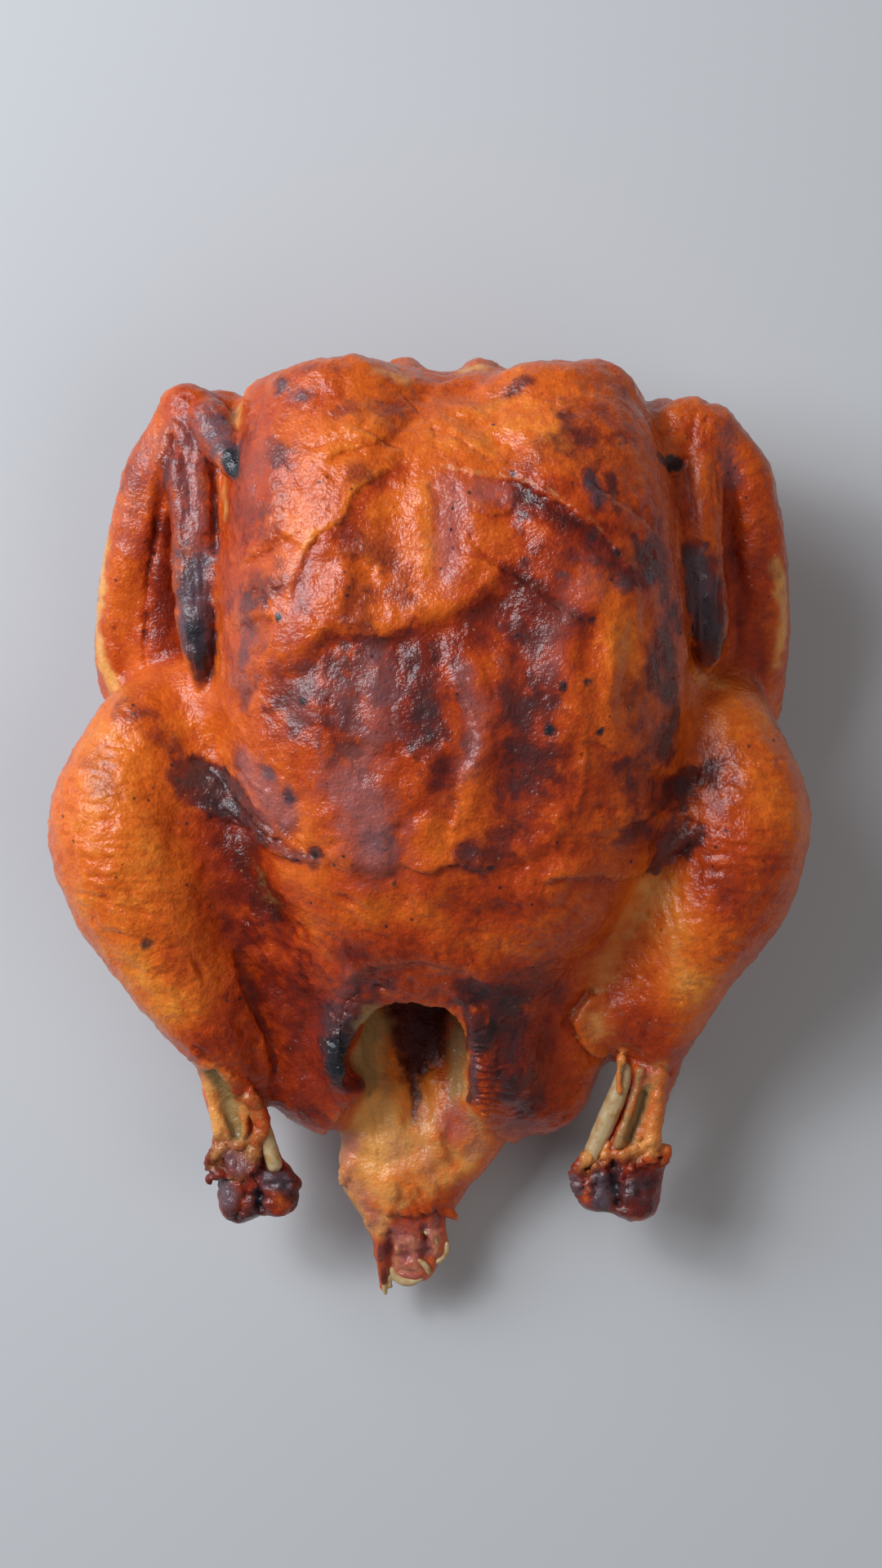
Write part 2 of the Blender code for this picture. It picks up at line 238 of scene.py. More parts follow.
# Each strand is a list of (x, y, z, radius) stations.
STRANDS = [
    # The vent's charred rolls.
    [(-20.5, -46.5, 52.5, 2.6), (-23, -52, 48.6, 4.6), (-24, -58, 45.2, 5), (-23.6, -62.5, 42.6, 4),
     (-21.6, -66, 41, 2.2)],
    [(6, -42, 60, 2), (11, -46.5, 56.4, 3.2), (13.6, -54, 52, 3.9), (14.2, -64, 45.6, 3.9),
     (14.6, -73, 39, 2.6)],
    # The wings' thumbs.
    [(-58.4, 111, 56, 5.4), (-55.8, 106, 58, 5.4), (-53.4, 101.4, 61, 4.8), (-51.4, 98, 65, 3.8),
     (-50, 95, 68, 2.6), (-49, 92.4, 70, 1.5)],
    [(66, 107, 53, 4.8), (63.5, 102.5, 55, 4.5), (61, 99, 58.5, 3.8), (58.8, 96.6, 62, 2.6),
     (57.6, 94.8, 65, 1.6)],
    # The wings' pointed tips.
    [(-60.8, 60, 57.6, 5.2), (-60, 52, 57, 4.6), (-59.6, 46, 56.4, 3.4), (-59.2, 41, 56, 1.9),
     (-59.1, 38.6, 55.8, 1)],
    [(70.2, 68, 57, 5.6), (71, 62, 56.6, 5.6), (71.6, 56, 56.4, 5.2), (72, 51, 56.2, 4),
     (72.2, 47.5, 55.8, 2.6), (72, 44.6, 55.4, 1.2)],
    # The webs between the wings' bones.
    [(76.8, 92, 50.5, 3), (77.6, 82, 47, 3.2), (78.6, 70, 45, 3.2), (79, 58, 43, 3.2),
     (77.5, 48, 42, 3)],
    [(-68.6, 92, 52, 2.6), (-70, 84, 48.6, 3), (-70.6, 76, 46, 3), (-71, 66, 44.4, 3)],
    # Tendons of the left shank, the cord between its bones and the ragged fringe of its cuff.
    [(-60.5, -60, 37, 2), (-58.8, -68, 36, 2), (-57, -76, 34.6, 1.8), (-56, -85, 32.6, 2)],
    [(-57, -71, 36, 1), (-55.3, -75, 35.4, 1), (-53.2, -81, 34.4, 1.1)],
    [(-50.4, -71, 35.6, 0.9), (-49.8, -77, 35.2, 0.9), (-51, -82, 34.4, 1)],
    [(-48.8, -67, 37, 2), (-46.5, -72, 36.2, 2.2), (-45, -77, 35.6, 2), (-46.6, -82, 34.8, 1.4),
     (-47.4, -88, 34.4, 1.3), (-47, -94, 33.4, 1.2)],
    [(-55.5, -82.5, 33, 1.6), (-58.2, -85, 32, 1.4), (-59.4, -88.5, 31, 1.3), (-57, -90, 31.5, 1.4)],
    [(-56.5, -89.5, 32, 1.6), (-59.8, -92.2, 30.5, 1.2)],
    # Tendons of the right shank, and the flaps on both sides of its cuff.
    [(51, -57, 38.5, 1), (50, -62, 38, 0.9), (50.3, -68, 37, 1)],
    [(61, -58, 37, 2.4), (60.5, -68, 36, 2.3), (59.5, -78, 34.5, 2.1), (58.5, -86, 33, 2)],
    [(55.5, -62, 38, 1.3), (54.5, -69, 37, 1.2), (52, -76, 36, 1.1), (50, -82, 35, 1.2)],
    [(42, -85, 33, 1.8), (39.6, -88.5, 32, 1.5), (37.8, -91.5, 30, 1.2)],
    [(40.4, -90, 31, 1.6), (38.9, -95, 29, 1.2)],
    [(57, -85, 33, 1.5), (60.5, -84, 33, 1.3), (63, -83.6, 32.6, 1.2), (62.4, -87, 32, 1.2),
     (58.5, -88, 32, 1.4)],
    # The stumps at the end of the tail.
    [(-7, -105, 14.4, 3.6), (-7.4, -111, 13, 4), (-7, -116.6, 11.4, 3.4)],
    [(-3.4, -108, 14.6, 2.6), (-2.6, -114, 13.6, 2.8), (-2.8, -118.6, 12, 2.6)],
    [(0.4, -104, 15.6, 3), (1.6, -109, 15.6, 2.6), (2.6, -113.6, 14.2, 2.2)],
    [(-9.4, -113, 17, 1.1), (-8.6, -110.6, 17.8, 1.1), (-5.8, -110, 18.2, 1), (-3.6, -111.6, 17.8, 1)],
    [(-1.4, -107.4, 18.4, 1), (0.6, -109.6, 18.4, 1.1), (1.4, -113.4, 17, 1.1)],
    # The quill's brown sheath, and the shreds beside the tail.
    [(-13.8, -107, 17.4, 1.5), (-13.6, -113, 16.2, 1.3), (-13.3, -118, 15.2, 1.2),
     (-12.9, -122.4, 14.2, 0.9)],
    [(10, -84, 22, 2), (12.6, -86.4, 21, 1.4), (14.4, -87.6, 20, 0.8)],
    [(3.6, -101, 19, 1.8), (6.2, -103.4, 18.4, 1.1), (7.2, -104.6, 18, 0.7)],
    [(-21, -88, 22, 2.2), (-23.4, -91.6, 21, 1.6), (-24, -94.4, 20.4, 1)],
    [(-16, -103, 19, 1.6), (-17.6, -106, 18, 1)],
]
# Bare bone, drawn apart from the skin.
BONES = [
    # The shanks.
    [(-46, -73, 34.2, 1.8), (-44.4, -79, 33.6, 2.2), (-42.6, -85, 32.8, 2.4), (-41.6, -88.6, 32.2, 2)],
    [(53, -58, 34.8, 1.8), (51.2, -65, 34.6, 2.4), (48.6, -72, 33.8, 2.7), (46, -78, 32.8, 2.7),
     (43.6, -84, 32.2, 2.4), (42.4, -87, 31.8, 2)],
    # The rims of the tail's stumps, and the forked quill beside them.
    [(-10.8, -118.4, 14.4, 1), (-9, -121, 14.2, 1.3), (-5.8, -122, 14.2, 1.4), (-2.6, -120.8, 14.6, 1)],
    [(1.8, -116.4, 15.6, 0.8), (3.9, -114, 16.2, 1), (4.3, -111, 16.8, 0.8)],
    [(-1.4, -107.8, 18.6, 0.7), (0.8, -109.4, 18.6, 0.8), (2.2, -112.4, 17.6, 0.7)],
    [(-3.4, -115.4, 17.4, 0.6), (-1.4, -117.2, 17, 0.8), (-0.4, -119.4, 16, 0.7)],
    [(-13, -121.4, 14.4, 0.7), (-12.7, -123.6, 14, 0.8), (-12.4, -125.4, 13.4, 0.7)],
    [(-11.6, -120.6, 14.4, 0.6), (-11, -123.6, 13.6, 0.7)],
]


def strand(bm, stations):
    """A closed round body of changing thickness through the stations."""
    ends = [np.array(s, float) for s in stations]
    ends = [2 * ends[0] - ends[1], *ends, 2 * ends[-1] - ends[-2]]
    line = []
    for before, start, end, after in zip(ends, ends[1:], ends[2:], ends[3:]):
        steps = range(STRAND_RINGS)
        line.extend(between(before, start, end, after, step / STRAND_RINGS) for step in steps)
    line.append(ends[-2])
    rings = []
    for i, point in enumerate(line):
        ahead = Vector((line[min(i + 1, len(line) - 1)] - line[max(i - 1, 0)])[:3]).normalized()
        side = ahead.cross(Vector((0, 0, 1))).normalized()
        upward = side.cross(ahead)
        centre = Vector(point[:3])
        ring = []
        for k in range(STRAND_SIDES):
            angle = 2 * math.pi * k / STRAND_SIDES
            reach = (side * math.cos(angle) + upward * math.sin(angle)) * point[3]
            ring.append(bm.verts.new((centre + reach) * MM))
        rings.append(ring)
    for first, second in zip(rings, rings[1:]):
        for k in range(STRAND_SIDES):
            m = (k + 1) % STRAND_SIDES
            bm.faces.new((first[k], first[m], second[m], second[k]))
    for ring, point, neighbour in ((rings[0], line[0], line[1]), (rings[-1], line[-1], line[-2])):
        outward = Vector((point - neighbour)[:3]).normalized()
        tip = bm.verts.new((Vector(point[:3]) + outward * point[3]) * MM)
        for k in range(STRAND_SIDES):
            bm.faces.new((ring[k], ring[(k + 1) % STRAND_SIDES], tip))


def fused(obj, voxel, rounds):
    """Fuses all that an object's mesh holds into one skin of even faces, smoothed."""
    remesh = obj.modifiers.new("Fuse", "REMESH")
    remesh.mode = "VOXEL"
    remesh.voxel_size = voxel * MM
    remesh.adaptivity = 0
    smooth = obj.modifiers.new("Smooth", "SMOOTH")
    smooth.factor = 0.5
    smooth.iterations = rounds
    settle(obj)


def settle(obj):
    """Turns an object's modifiers into its mesh."""
    bpy.context.view_layer.update()
    graph = bpy.context.evaluated_depsgraph_get()
    made = bpy.data.meshes.new_from_object(obj.evaluated_get(graph))
    old = obj.data
    obj.modifiers.clear()
    obj.data = made
    bpy.data.meshes.remove(old)


def placed(name, data):
    """A new object in the scene."""
    obj = bpy.data.objects.new(name, data)
    bpy.context.scene.collection.objects.link(obj)
    return obj


def add_strands(mesh, strands):
    """Adds a closed round body to a mesh for each strand."""
    bm = bmesh.new()
    bm.from_mesh(mesh)
    for stations in strands:
        strand(bm, stations)
    bmesh.ops.recalc_face_normals(bm, faces=bm.faces)
    bm.to_mesh(mesh)
    bm.free()


def bird_form():
    """The solid's surface with the fine strands fused on, drawn in small even faces."""
    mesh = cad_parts[BIRD].data.copy()
    mesh.materials.clear()
    obj = placed("roast_chicken", mesh)
    bm = bmesh.new()
    bm.from_mesh(mesh)
    bmesh.ops.remove_doubles(bm, verts=bm.verts, dist=WELD * MM)
    bm.to_mesh(mesh)
    bm.free()
    fused(obj, FORM_VOXEL, FORM_SMOOTHING)
    add_strands(obj.data, STRANDS)
    fused(obj, SKIN_VOXEL, SKIN_SMOOTHING)
    return obj


# ---------------------------------------------------------------- folds, tears and wrinkles

# Each fold is raised on the left of its direction of travel and sunk on its right:
# (raise, sink, reach of the raised side, reach of the sunk side, softness, overhang, places).
FOLDS = [
    # The torn skin's edges on both sides of the wishbone.
    (0.75, 0.1, 11, 7, 0.25, 0.25, [(-34.7, 57), (-33.7, 61.1), (-33.3, 65.7), (-31.7, 68.7),
     (-30.7, 71.8), (-29, 74.4), (-26.6, 76.8), (-22.6, 78.6), (-20.5, 80.7), (-20.2, 83),
     (-18.9, 85.6), (-16.5, 88.4), (-13, 90.4), (-9.4, 92.6), (-6.6, 96.2)]),
    (0.6, 0.4, 6, 4, 0.5, 0.4, [(-6.6, 96.4), (-10, 98), (-14.5, 100.2), (-19, 102.4)]),
    (0.8, 0.3, 12, 6, 0.3, 0.4, [(1, 93.6), (7, 91.5), (15.1, 89.9), (23.3, 88.6), (27.3, 86.5),
     (31.3, 84), (35.3, 81.5), (39.4, 78.7), (44.3, 74.8), (48.5, 68.8), (54.1, 64)]),
    (0.3, 0.1, 6, 3, 0.8, 0, [(45.5, 64.5), (41, 71), (35, 74.6), (29.5, 78), (24, 81.6), (20.6, 85)]),
    (0.6, 0.1, 7, 3, 0.3, 0.3, [(9, 85), (11.5, 82.6), (15.1, 80.7), (19.6, 82), (21.2, 86.1),
     (20.2, 89)]),
    (0.5, 0.3, 7, 6, 0.35, 0.2, [(41, 52.6), (35.3, 55.1), (31.2, 57.5), (25.2, 62.4), (19.1, 65.7),
     (15.1, 68.1), (9.8, 70.5), (5.4, 73.2)]),
    (0.6, 0.5, 8, 5, 0.4, 0.5, [(57, 77), (53, 80), (48, 83), (42, 86.5), (37, 90)]),
    # The long fold across the breast, and the facets that hang from it.
    (1.2, 1.5, 18, 16, 2, 0.4, [(-42, 38), (-36.3, 41.8), (-33, 44.3), (-29.4, 47.5), (-26, 51),
     (-22.9, 52.3), (-18.7, 51.9), (-14.6, 50.7), (-10.4, 50.7), (-6.4, 53), (-0.5, 54), (4.8, 55.9),
     (10.6, 58.7), (15.5, 62), (20, 64), (25.4, 63.2)]),
    (1.2, 0.6, 15, 9, 2.6, 0, [(-10.2, 21), (-10.6, 27), (-10.2, 35), (-10.4, 44), (-13, 52)]),
    (0.6, 0.6, 10, 7, 2, 0, [(-22, 19), (-15, 22), (-9, 21.5), (-3, 17.5)]),
    (0.6, 0.5, 8, 6, 1.8, 0, [(-7.6, 1), (-5.4, 6.4), (-2, 10), (0.6, 14.4), (3, 22)]),
    (0.7, 0.7, 7, 8, 0.5, 0.3, [(3.6, 43), (7, 36.5), (9.9, 32.1), (11.5, 26), (10.5, 21.2),
     (7.2, 15.1), (7.2, 9), (5.4, 3.7), (5, -3.5)]),
    (0.6, 0.6, 9, 9, 2, 0.1, [(33, 2), (35, 8), (34, 14), (33, 20), (35, 28)]),
    (0.4, 0.4, 8, 6, 1.6, 0.1, [(41, 28), (39, 36), (37, 43), (38, 50), (40, 54)]),
    (1.1, 0.6, 15, 9, 2.6, 0, [(-8, -9), (-8, -2), (-7.6, 6), (-8, 13), (-10, 19)]),
    (0.7, 0.8, 10, 8, 1.6, 0.1, [(-27, -3), (-20, -7), (-14, -8.5), (-8, -7)]),
    (0.8, 0.5, 6, 6, 0.6, 0.2, [(-8.4, -5.2), (-3, -7), (0.9, -7.8), (7, -5.4), (11, -6.6),
     (15.3, -8.9)]),
    (0.5, 0.5, 6, 5, 0.5, 0.4, [(-22.6, 70), (-18, 70.6), (-14.4, 68.6), (-12.4, 64)]),
    (0.7, 0.8, 9, 8, 1.6, 0.1, [(13, -8), (20, -6), (27, -3), (33, 2), (40, 5)]),
    (0.5, 0.6, 9, 8, 1.9, 0, [(24, -10), (30, -4), (38, 0), (46, 1)]),
    (0.7, 0.6, 9, 7, 1.4, 0.1, [(-22, 55), (-20, 60), (-18.5, 66), (-20, 71)]),
    (0.7, 0.8, 9, 7, 1.2, 0.3, [(-48, 70), (-42, 72), (-37, 75), (-32, 73.5)]),
    (0.6, 0.6, 7, 7, 1.2, 0.2, [(-51, 53), (-45, 55), (-40, 55.5), (-36, 53.5)]),
    (0.6, 0.6, 8, 8, 1.5, 0.1, [(-26, 101), (-18, 101), (-10, 104), (-3, 109)]),
    (0.7, 0.5, 9, 6, 0.6, 0.4, [(-28, 95), (-21, 97), (-14, 99), (-8, 103.5)]),
    (0.6, 0.6, 8, 8, 1.4, 0.1, [(4, 110), (10, 106), (17, 101), (26, 99.5)]),
    (0.7, 0.6, 9, 8, 1.7, 0, [(46, 26), (46, 36), (47, 46), (49, 56)]),
    # The strip of skin over the wishbone's point.
    (0.6, 0.6, 7, 7, 1.8, 0.1, [(0.4, 62), (0.8, 72), (0.4, 82), (-1, 93)]),
    (0.5, 0.5, 6, 6, 1.8, 0.1, [(7, 91), (8.6, 82), (8.4, 72), (6, 63)]),
    # Where the thighs' skin meets the breast's.
    (0.7, 0.8, 10, 7, 1.2, 0.3, [(36, 25), (41, 25), (47.3, 21.5), (52, 19), (59.3, 17.4), (63.3, 16.6),
     (68.7, 17.3), (73, 16.2)]),
    (1.3, 0.9, 9, 8, 1, 0.3, [(25.3, -12), (33, -9), (40, -9), (48, -10), (54, -8.2), (58.6, -6.4),
     (62.8, -3.2), (66.6, -0.2), (72, 2.5)]),
    (0.7, 0.7, 4, 4, 0.9, 0.3, [(46, 6), (54, 5), (60, 8), (67, 9)]),
    (0.6, 0.8, 8, 6, 1, 0.3, [(-72, 27), (-66, 22), (-58, 20), (-51, 17), (-46, 11), (-39.6, 3.6)]),
    (0.8, 0.8, 5, 6, 0.8, 0.4, [(-62, 7), (-55, 5.6), (-47.7, 3), (-40.8, -1.5), (-34.3, -4.9),
     (-27, -5.6)]),
    (0.5, 0.5, 4, 4, 0.4, 0.3, [(-56, 17), (-51, 12.6), (-46, 8), (-41, 3), (-35, -1.4)]),
    (0.5, 0.5, 3, 4, 0.4, 0.3, [(-60, 13.6), (-54, 9.6), (-49, 6), (-44, 2)]),
    # The legs' skin over the hips.
    (1.2, 1.5, 6, 6, 0.9, 0.5, [(-42, -68), (-43, -60), (-45, -52), (-49, -42), (-52.4, -29)]),
    (1.5, 1.6, 6, 5, 0.8, 0.6, [(47, -40), (41, -43), (38.5, -48), (40, -54), (44, -58), (50, -57.5)]),
    # The torn cuffs of skin round the shanks, and the gristle's edges below them.
    (0.9, 0.7, 5, 4, 0.5, 0.6, [(-45, -70), (-50, -65), (-55, -61), (-60, -58), (-64, -53)]),
    (0.9, 0.7, 5, 4, 0.5, 0.6, [(64, -64), (59, -62), (54, -60), (49, -57)]),
    (1, 0.4, 4, 3, 0.5, 0.4, [(-47, -81.4), (-50.4, -82), (-54, -81.4), (-57.5, -83)]),
    (1, 0.4, 4, 3, 0.5, 0.4, [(60.5, -80), (56, -81.5), (51, -84), (46, -84)]),
    (0.9, 0.7, 4, 3, 0.5, 0.5, [(-56, -91.2), (-52.5, -90.4), (-49, -91.4)]),
    (0.9, 0.6, 4, 3, 0.5, 0.5, [(-44.5, -91.5), (-41, -92), (-37, -92.5), (-35, -96)]),
    # Where the vent's skin ends over the tail.
    (1.3, 0.6, 7, 6, 0.5, 0.8, [(11.5, -66), (13.5, -72), (15.5, -77), (20, -81), (26, -83)]),
    (1.1, 0.5, 7, 6, 0.5, 0.7, [(-32, -81), (-27, -77), (-23, -72), (-19, -67.5)]),
    # The tail's folds.
    (0.6, 0.8, 7, 7, 1.8, 0.1, [(-22, -83), (-16, -86), (-9, -85), (-4, -81)]),
    (0.7, 0.7, 7, 7, 1.8, 0.1, [(-2, -92), (2, -88), (8, -85), (13, -84)]),
    (0.7, 0.7, 5, 5, 0.9, 0.2, [(-15, -104), (-10, -102), (-4, -103.5), (2, -101)]),
]

# Lumps, ridges and blisters, and grooves and pits where the height is below nought:
# (height, core, fade, places).
BUMPS = [
    # The ridges where the left thigh meets the breast, and the breast's nubs, blisters and creases.
    (0.5, 0.3, 0.9, [(-57, 16.4), (-50, 12.4), (-45, 6.4), (-39, 2)]),
    (0.5, 0.3, 0.9, [(-52, 19), (-46, 14), (-42, 8.6)]),
    (0.5, 0.3, 0.9, [(-54, 9), (-48, 6), (-42, 1.6), (-36, -2.4)]),
    (0.5, 0.3, 0.8, [(-47, 17.4), (-43, 14.4), (-39, 11)]),
    (0.8, 0.6, 1, [(59.5, 3)]),
    (0.5, 0.3, 0.7, [(51, 9), (55, 7), (59, 4.6)]),
    (0.7, 0.4, 0.8, [(-9, -11)]),
    (0.7, 0.4, 0.8, [(-4, -15.5)]),
    (-0.9, 0.4, 1.3, [(57, -6), (62, -4.4), (68, -1)]),
    (-0.6, 0.2, 0.8, [(-44, 63), (-41, 61), (-39.5, 57.5)]),
    (-0.5, 0.2, 0.7, [(9.4, 78), (12, 72), (17, 69)]),
    (0.5, 0.4, 0.9, [(38.5, 22), (38, 15), (36.5, 8)]),
    (-0.5, 0.2, 0.8, [(-30, 98), (-22, 99.5), (-13, 98)]),
    (-0.5, 0.2, 0.7, [(-8, 113), (-3, 108), (1, 103), (1, 98)]),
    (-0.5, 0.2, 0.8, [(2, 103), (8, 99), (14, 95)]),
    # The thighs' blisters.
    (0.55, 2.6, 1.4, [(-82, -10), (-80.5, -14)]),
    (0.5, 2.2, 1.3, [(86, 23), (87, 19)]),
    # The wings: ridges of bone, the pit at the elbow, and the creases of the web.
    (0.6, 0.7, 1.6, [(-65.8, 98), (-65.4, 86), (-64.4, 76)]),
    (0.5, 0.7, 1.6, [(-58.8, 99), (-58.6, 88), (-59, 80)]),
    (-0.5, 0.4, 1.4, [(-62.2, 98), (-61.8, 84)]),
    (-1.6, 0.9, 1.6, [(-67, 103), (-66.2, 100)]),
    (-0.8, 0.5, 1.3, [(-69.4, 90), (-71.2, 84), (-72.8, 75)]),
    (-0.9, 0.3, 1, [(-73, 74), (-74.4, 68), (-75, 57), (-76, 45)]),
    (1, 1, 1.6, [(-70, 99), (-72.6, 90), (-74.4, 80)]),
    (-1.5, 0.6, 1.4, [(-56.6, 94), (-56, 84), (-55.4, 74)]),
    (-0.5, 0.5, 1.6, [(76.4, 88), (79, 75), (80.4, 62), (81.4, 49)]),
    (0.5, 1, 1.7, [(70.4, 100), (70.2, 88), (71, 78)]),
    (-0.8, 0.5, 1.4, [(66.4, 98), (66.4, 84)]),
    (-0.9, 0.4, 1.2, [(74, 97), (74.6, 88)]),
    (-1.2, 0.6, 1.4, [(63.4, 94), (63, 84), (63.2, 72)]),
    # The left shank: the long hollow, the bare nub above it, and the crevices of the knuckle.
    (-1.6, 1.4, 1.3, [(-57.6, -62.5), (-55, -68), (-53, -74), (-51.6, -79.6)]),
    (1.1, 0.9, 1.2, [(-48.8, -69.6), (-46.6, -70.6)]),
    (-1.7, 0.5, 1.1, [(-44.6, -84.5), (-44.8, -88.6)]),
    (-2, 1, 1.3, [(-46.8, -91), (-46.2, -95), (-45.4, -100)]),
    (1, 0.9, 0.9, [(-46.4, -93.2)]),
    (0.9, 0.9, 0.9, [(-45, -97.8)]),
    (0.9, 1, 1.4, [(-44.4, -91), (-40.6, -91.8), (-36.4, -93)]),
    (-1, 0.4, 1, [(-38.4, -93.6), (-36.6, -97), (-37, -100.4)]),
    (0.7, 0.5, 0.9, [(-53.6, -85), (-52.6, -88.6)]),
    (-0.9, 0.4, 1, [(-55.8, -85), (-54.6, -89.6)]),
    (0.7, 0.5, 0.9, [(-50, -84.6), (-49.4, -88.6)]),
    (-1.2, 0.5, 1.3, [(-52.6, -103), (-50.8, -99), (-49.4, -96)]),
    # The right shank: its hollow, the gristle's nubs and the knuckle's crevices.
    (-1.6, 1.2, 1.3, [(56.4, -69), (55, -74), (52.4, -80)]),
    (0.9, 0.8, 1, [(57, -65.6)]),
    (0.9, 0.8, 1, [(60.4, -68.6)]),
    (0.9, 0.6, 0.9, [(47.4, -82.4), (46.4, -85)]),
    (0.8, 0.6, 0.9, [(43.6, -87.4), (45.6, -90)]),
    (0.8, 0.5, 0.9, [(41.4, -88.6), (43.6, -91.4)]),
    (-1.9, 1.2, 1.5, [(49, -88.4), (48.6, -92.6), (50, -97)]),
    (0.8, 0.6, 0.8, [(50.4, -90.4)]),
    (0.7, 0.5, 0.8, [(53.4, -88.6)]),
    (0.7, 0.5, 0.8, [(56.6, -87)]),
    (-1, 0.4, 1, [(44.6, -90), (44.4, -95)]),
    (-0.9, 0.4, 1, [(52.6, -86.6), (57, -84.6)]),
    # The tail: lumps, the groove up its middle and the flesh beside it.
    (-1.2, 0.2, 2.8, [(-4.6, -60), (-4.8, -70), (-5.6, -77)]),
    (1, 1.6, 2.4, [(1.6, -66), (2.6, -74), (1, -80)]),
    (0.9, 1.4, 2.4, [(-10.6, -66), (-10, -74), (-10.6, -80)]),
    (-0.5, 0.6, 2.4, [(7, -72), (5, -80), (6, -88)]),
    (0.6, 2, 3.4, [(-20, -90)]),
    (0.5, 2.2, 3.4, [(-12, -95)]),
    (0.5, 1.8, 3, [(5, -92)]),
    (0.5, 1.4, 2, [(-17, -99)]),
    (-0.4, 0.5, 2, [(-17, -84), (-18, -93), (-14, -102)]),
    (-0.4, 0.4, 1.8, [(-6, -92), (-8, -98), (-9, -106)]),
    (-1.1, 0.4, 1.6, [(-2, -107), (-1.2, -111), (-1.4, -117)]),
    (-1, 0.4, 1.6, [(-10.6, -109), (-11, -113), (-10.6, -117)]),
    (-1.4, 0.9, 1.2, [(-6.4, -114.4)]),
    (-0.9, 0.5, 0.9, [(0, -113)]),
    (-0.8, 0.4, 0.9, [(-8.4, -118.6), (-4.6, -119)]),
]

# Where parts of the skin are drawn aside: (x, y and z of the shift, core, fade, places).
PUSHES = [
    # The vent's rim, drawn outwards at its top, its left and its right.
    (0, 3, 0, 5, 7, [(-11, -41), (-3, -40), (5, -41.5)]),
    (-3.4, 0, 0, 2, 4.5, [(-16, -45), (-18.4, -54), (-19, -62)]),
    (1.2, 0, 0, 1.6, 3.4, [(7, -46), (8.6, -54), (9.6, -66)]),
]

# How much the folds' edges wander: (how wide the swells, how far).
WANDER = ((9.0, 1.0), (3.2, 0.6), (1.4, 0.32))
# The share of its length over which a fold dies out at each end, and how far its lean reaches.
FOLD_ENDS = 0.16
LEAN_REACH = 2.0


def raise_folds(places, ground):
    """How far the folds lift each place, and how far their edges lean over."""
    lift = np.zeros(len(places))
    lean = np.zeros((len(places), 3))
    wander = sum(noise(places, cell, 21 + i) * far for i, (cell, far) in enumerate(WANDER))
    for up, down, up_reach, down_reach, soft, overhang, points in FOLDS:
        near = Near(places, ground.route(points), max(up_reach, down_reach) + 2)
        share = near.tapered(FOLD_ENDS)
        offset = near.offset + wander[near.which]
        rise = up * eased(-0.3 * soft, 1.6 * soft, offset) * eased(up_reach, 0, offset)
        fall = down * eased(-0.3 * soft, 1.6 * soft, -offset) * eased(down_reach, 0, -offset)
        lift[near.which] += share * (rise - fall)
        reach = np.exp(-np.maximum(offset, 0) / LEAN_REACH)
        tilt = overhang * share * eased(-0.3, soft, offset) * reach
        lean[near.which] -= near.left * tilt[:, None]
    return lift, lean


def raise_bumps(places, ground):
    """How far the lumps and grooves lift each place."""
    lift = np.zeros(len(places))
    ragged = noise(places, 2.4, 27) * 0.35
    for height, core, fade, points in BUMPS:
        near = Near(places, ground.route(points), core + fade + 1)
        distance = near.distance + ragged[near.which] * min(1.0, fade)
        lift[near.which] += height * eased(core + fade, core * 0.5, distance)
    return lift


def pushed(places, ground):
    """How far each place is drawn aside."""
    shift = np.zeros((len(places), 3))
    for x, y, z, core, fade, points in PUSHES:
        near = Near(places, ground.route(points), core + fade)
        shift[near.which] += np.outer(eased(core + fade, core, near.distance), (x, y, z))
    return shift


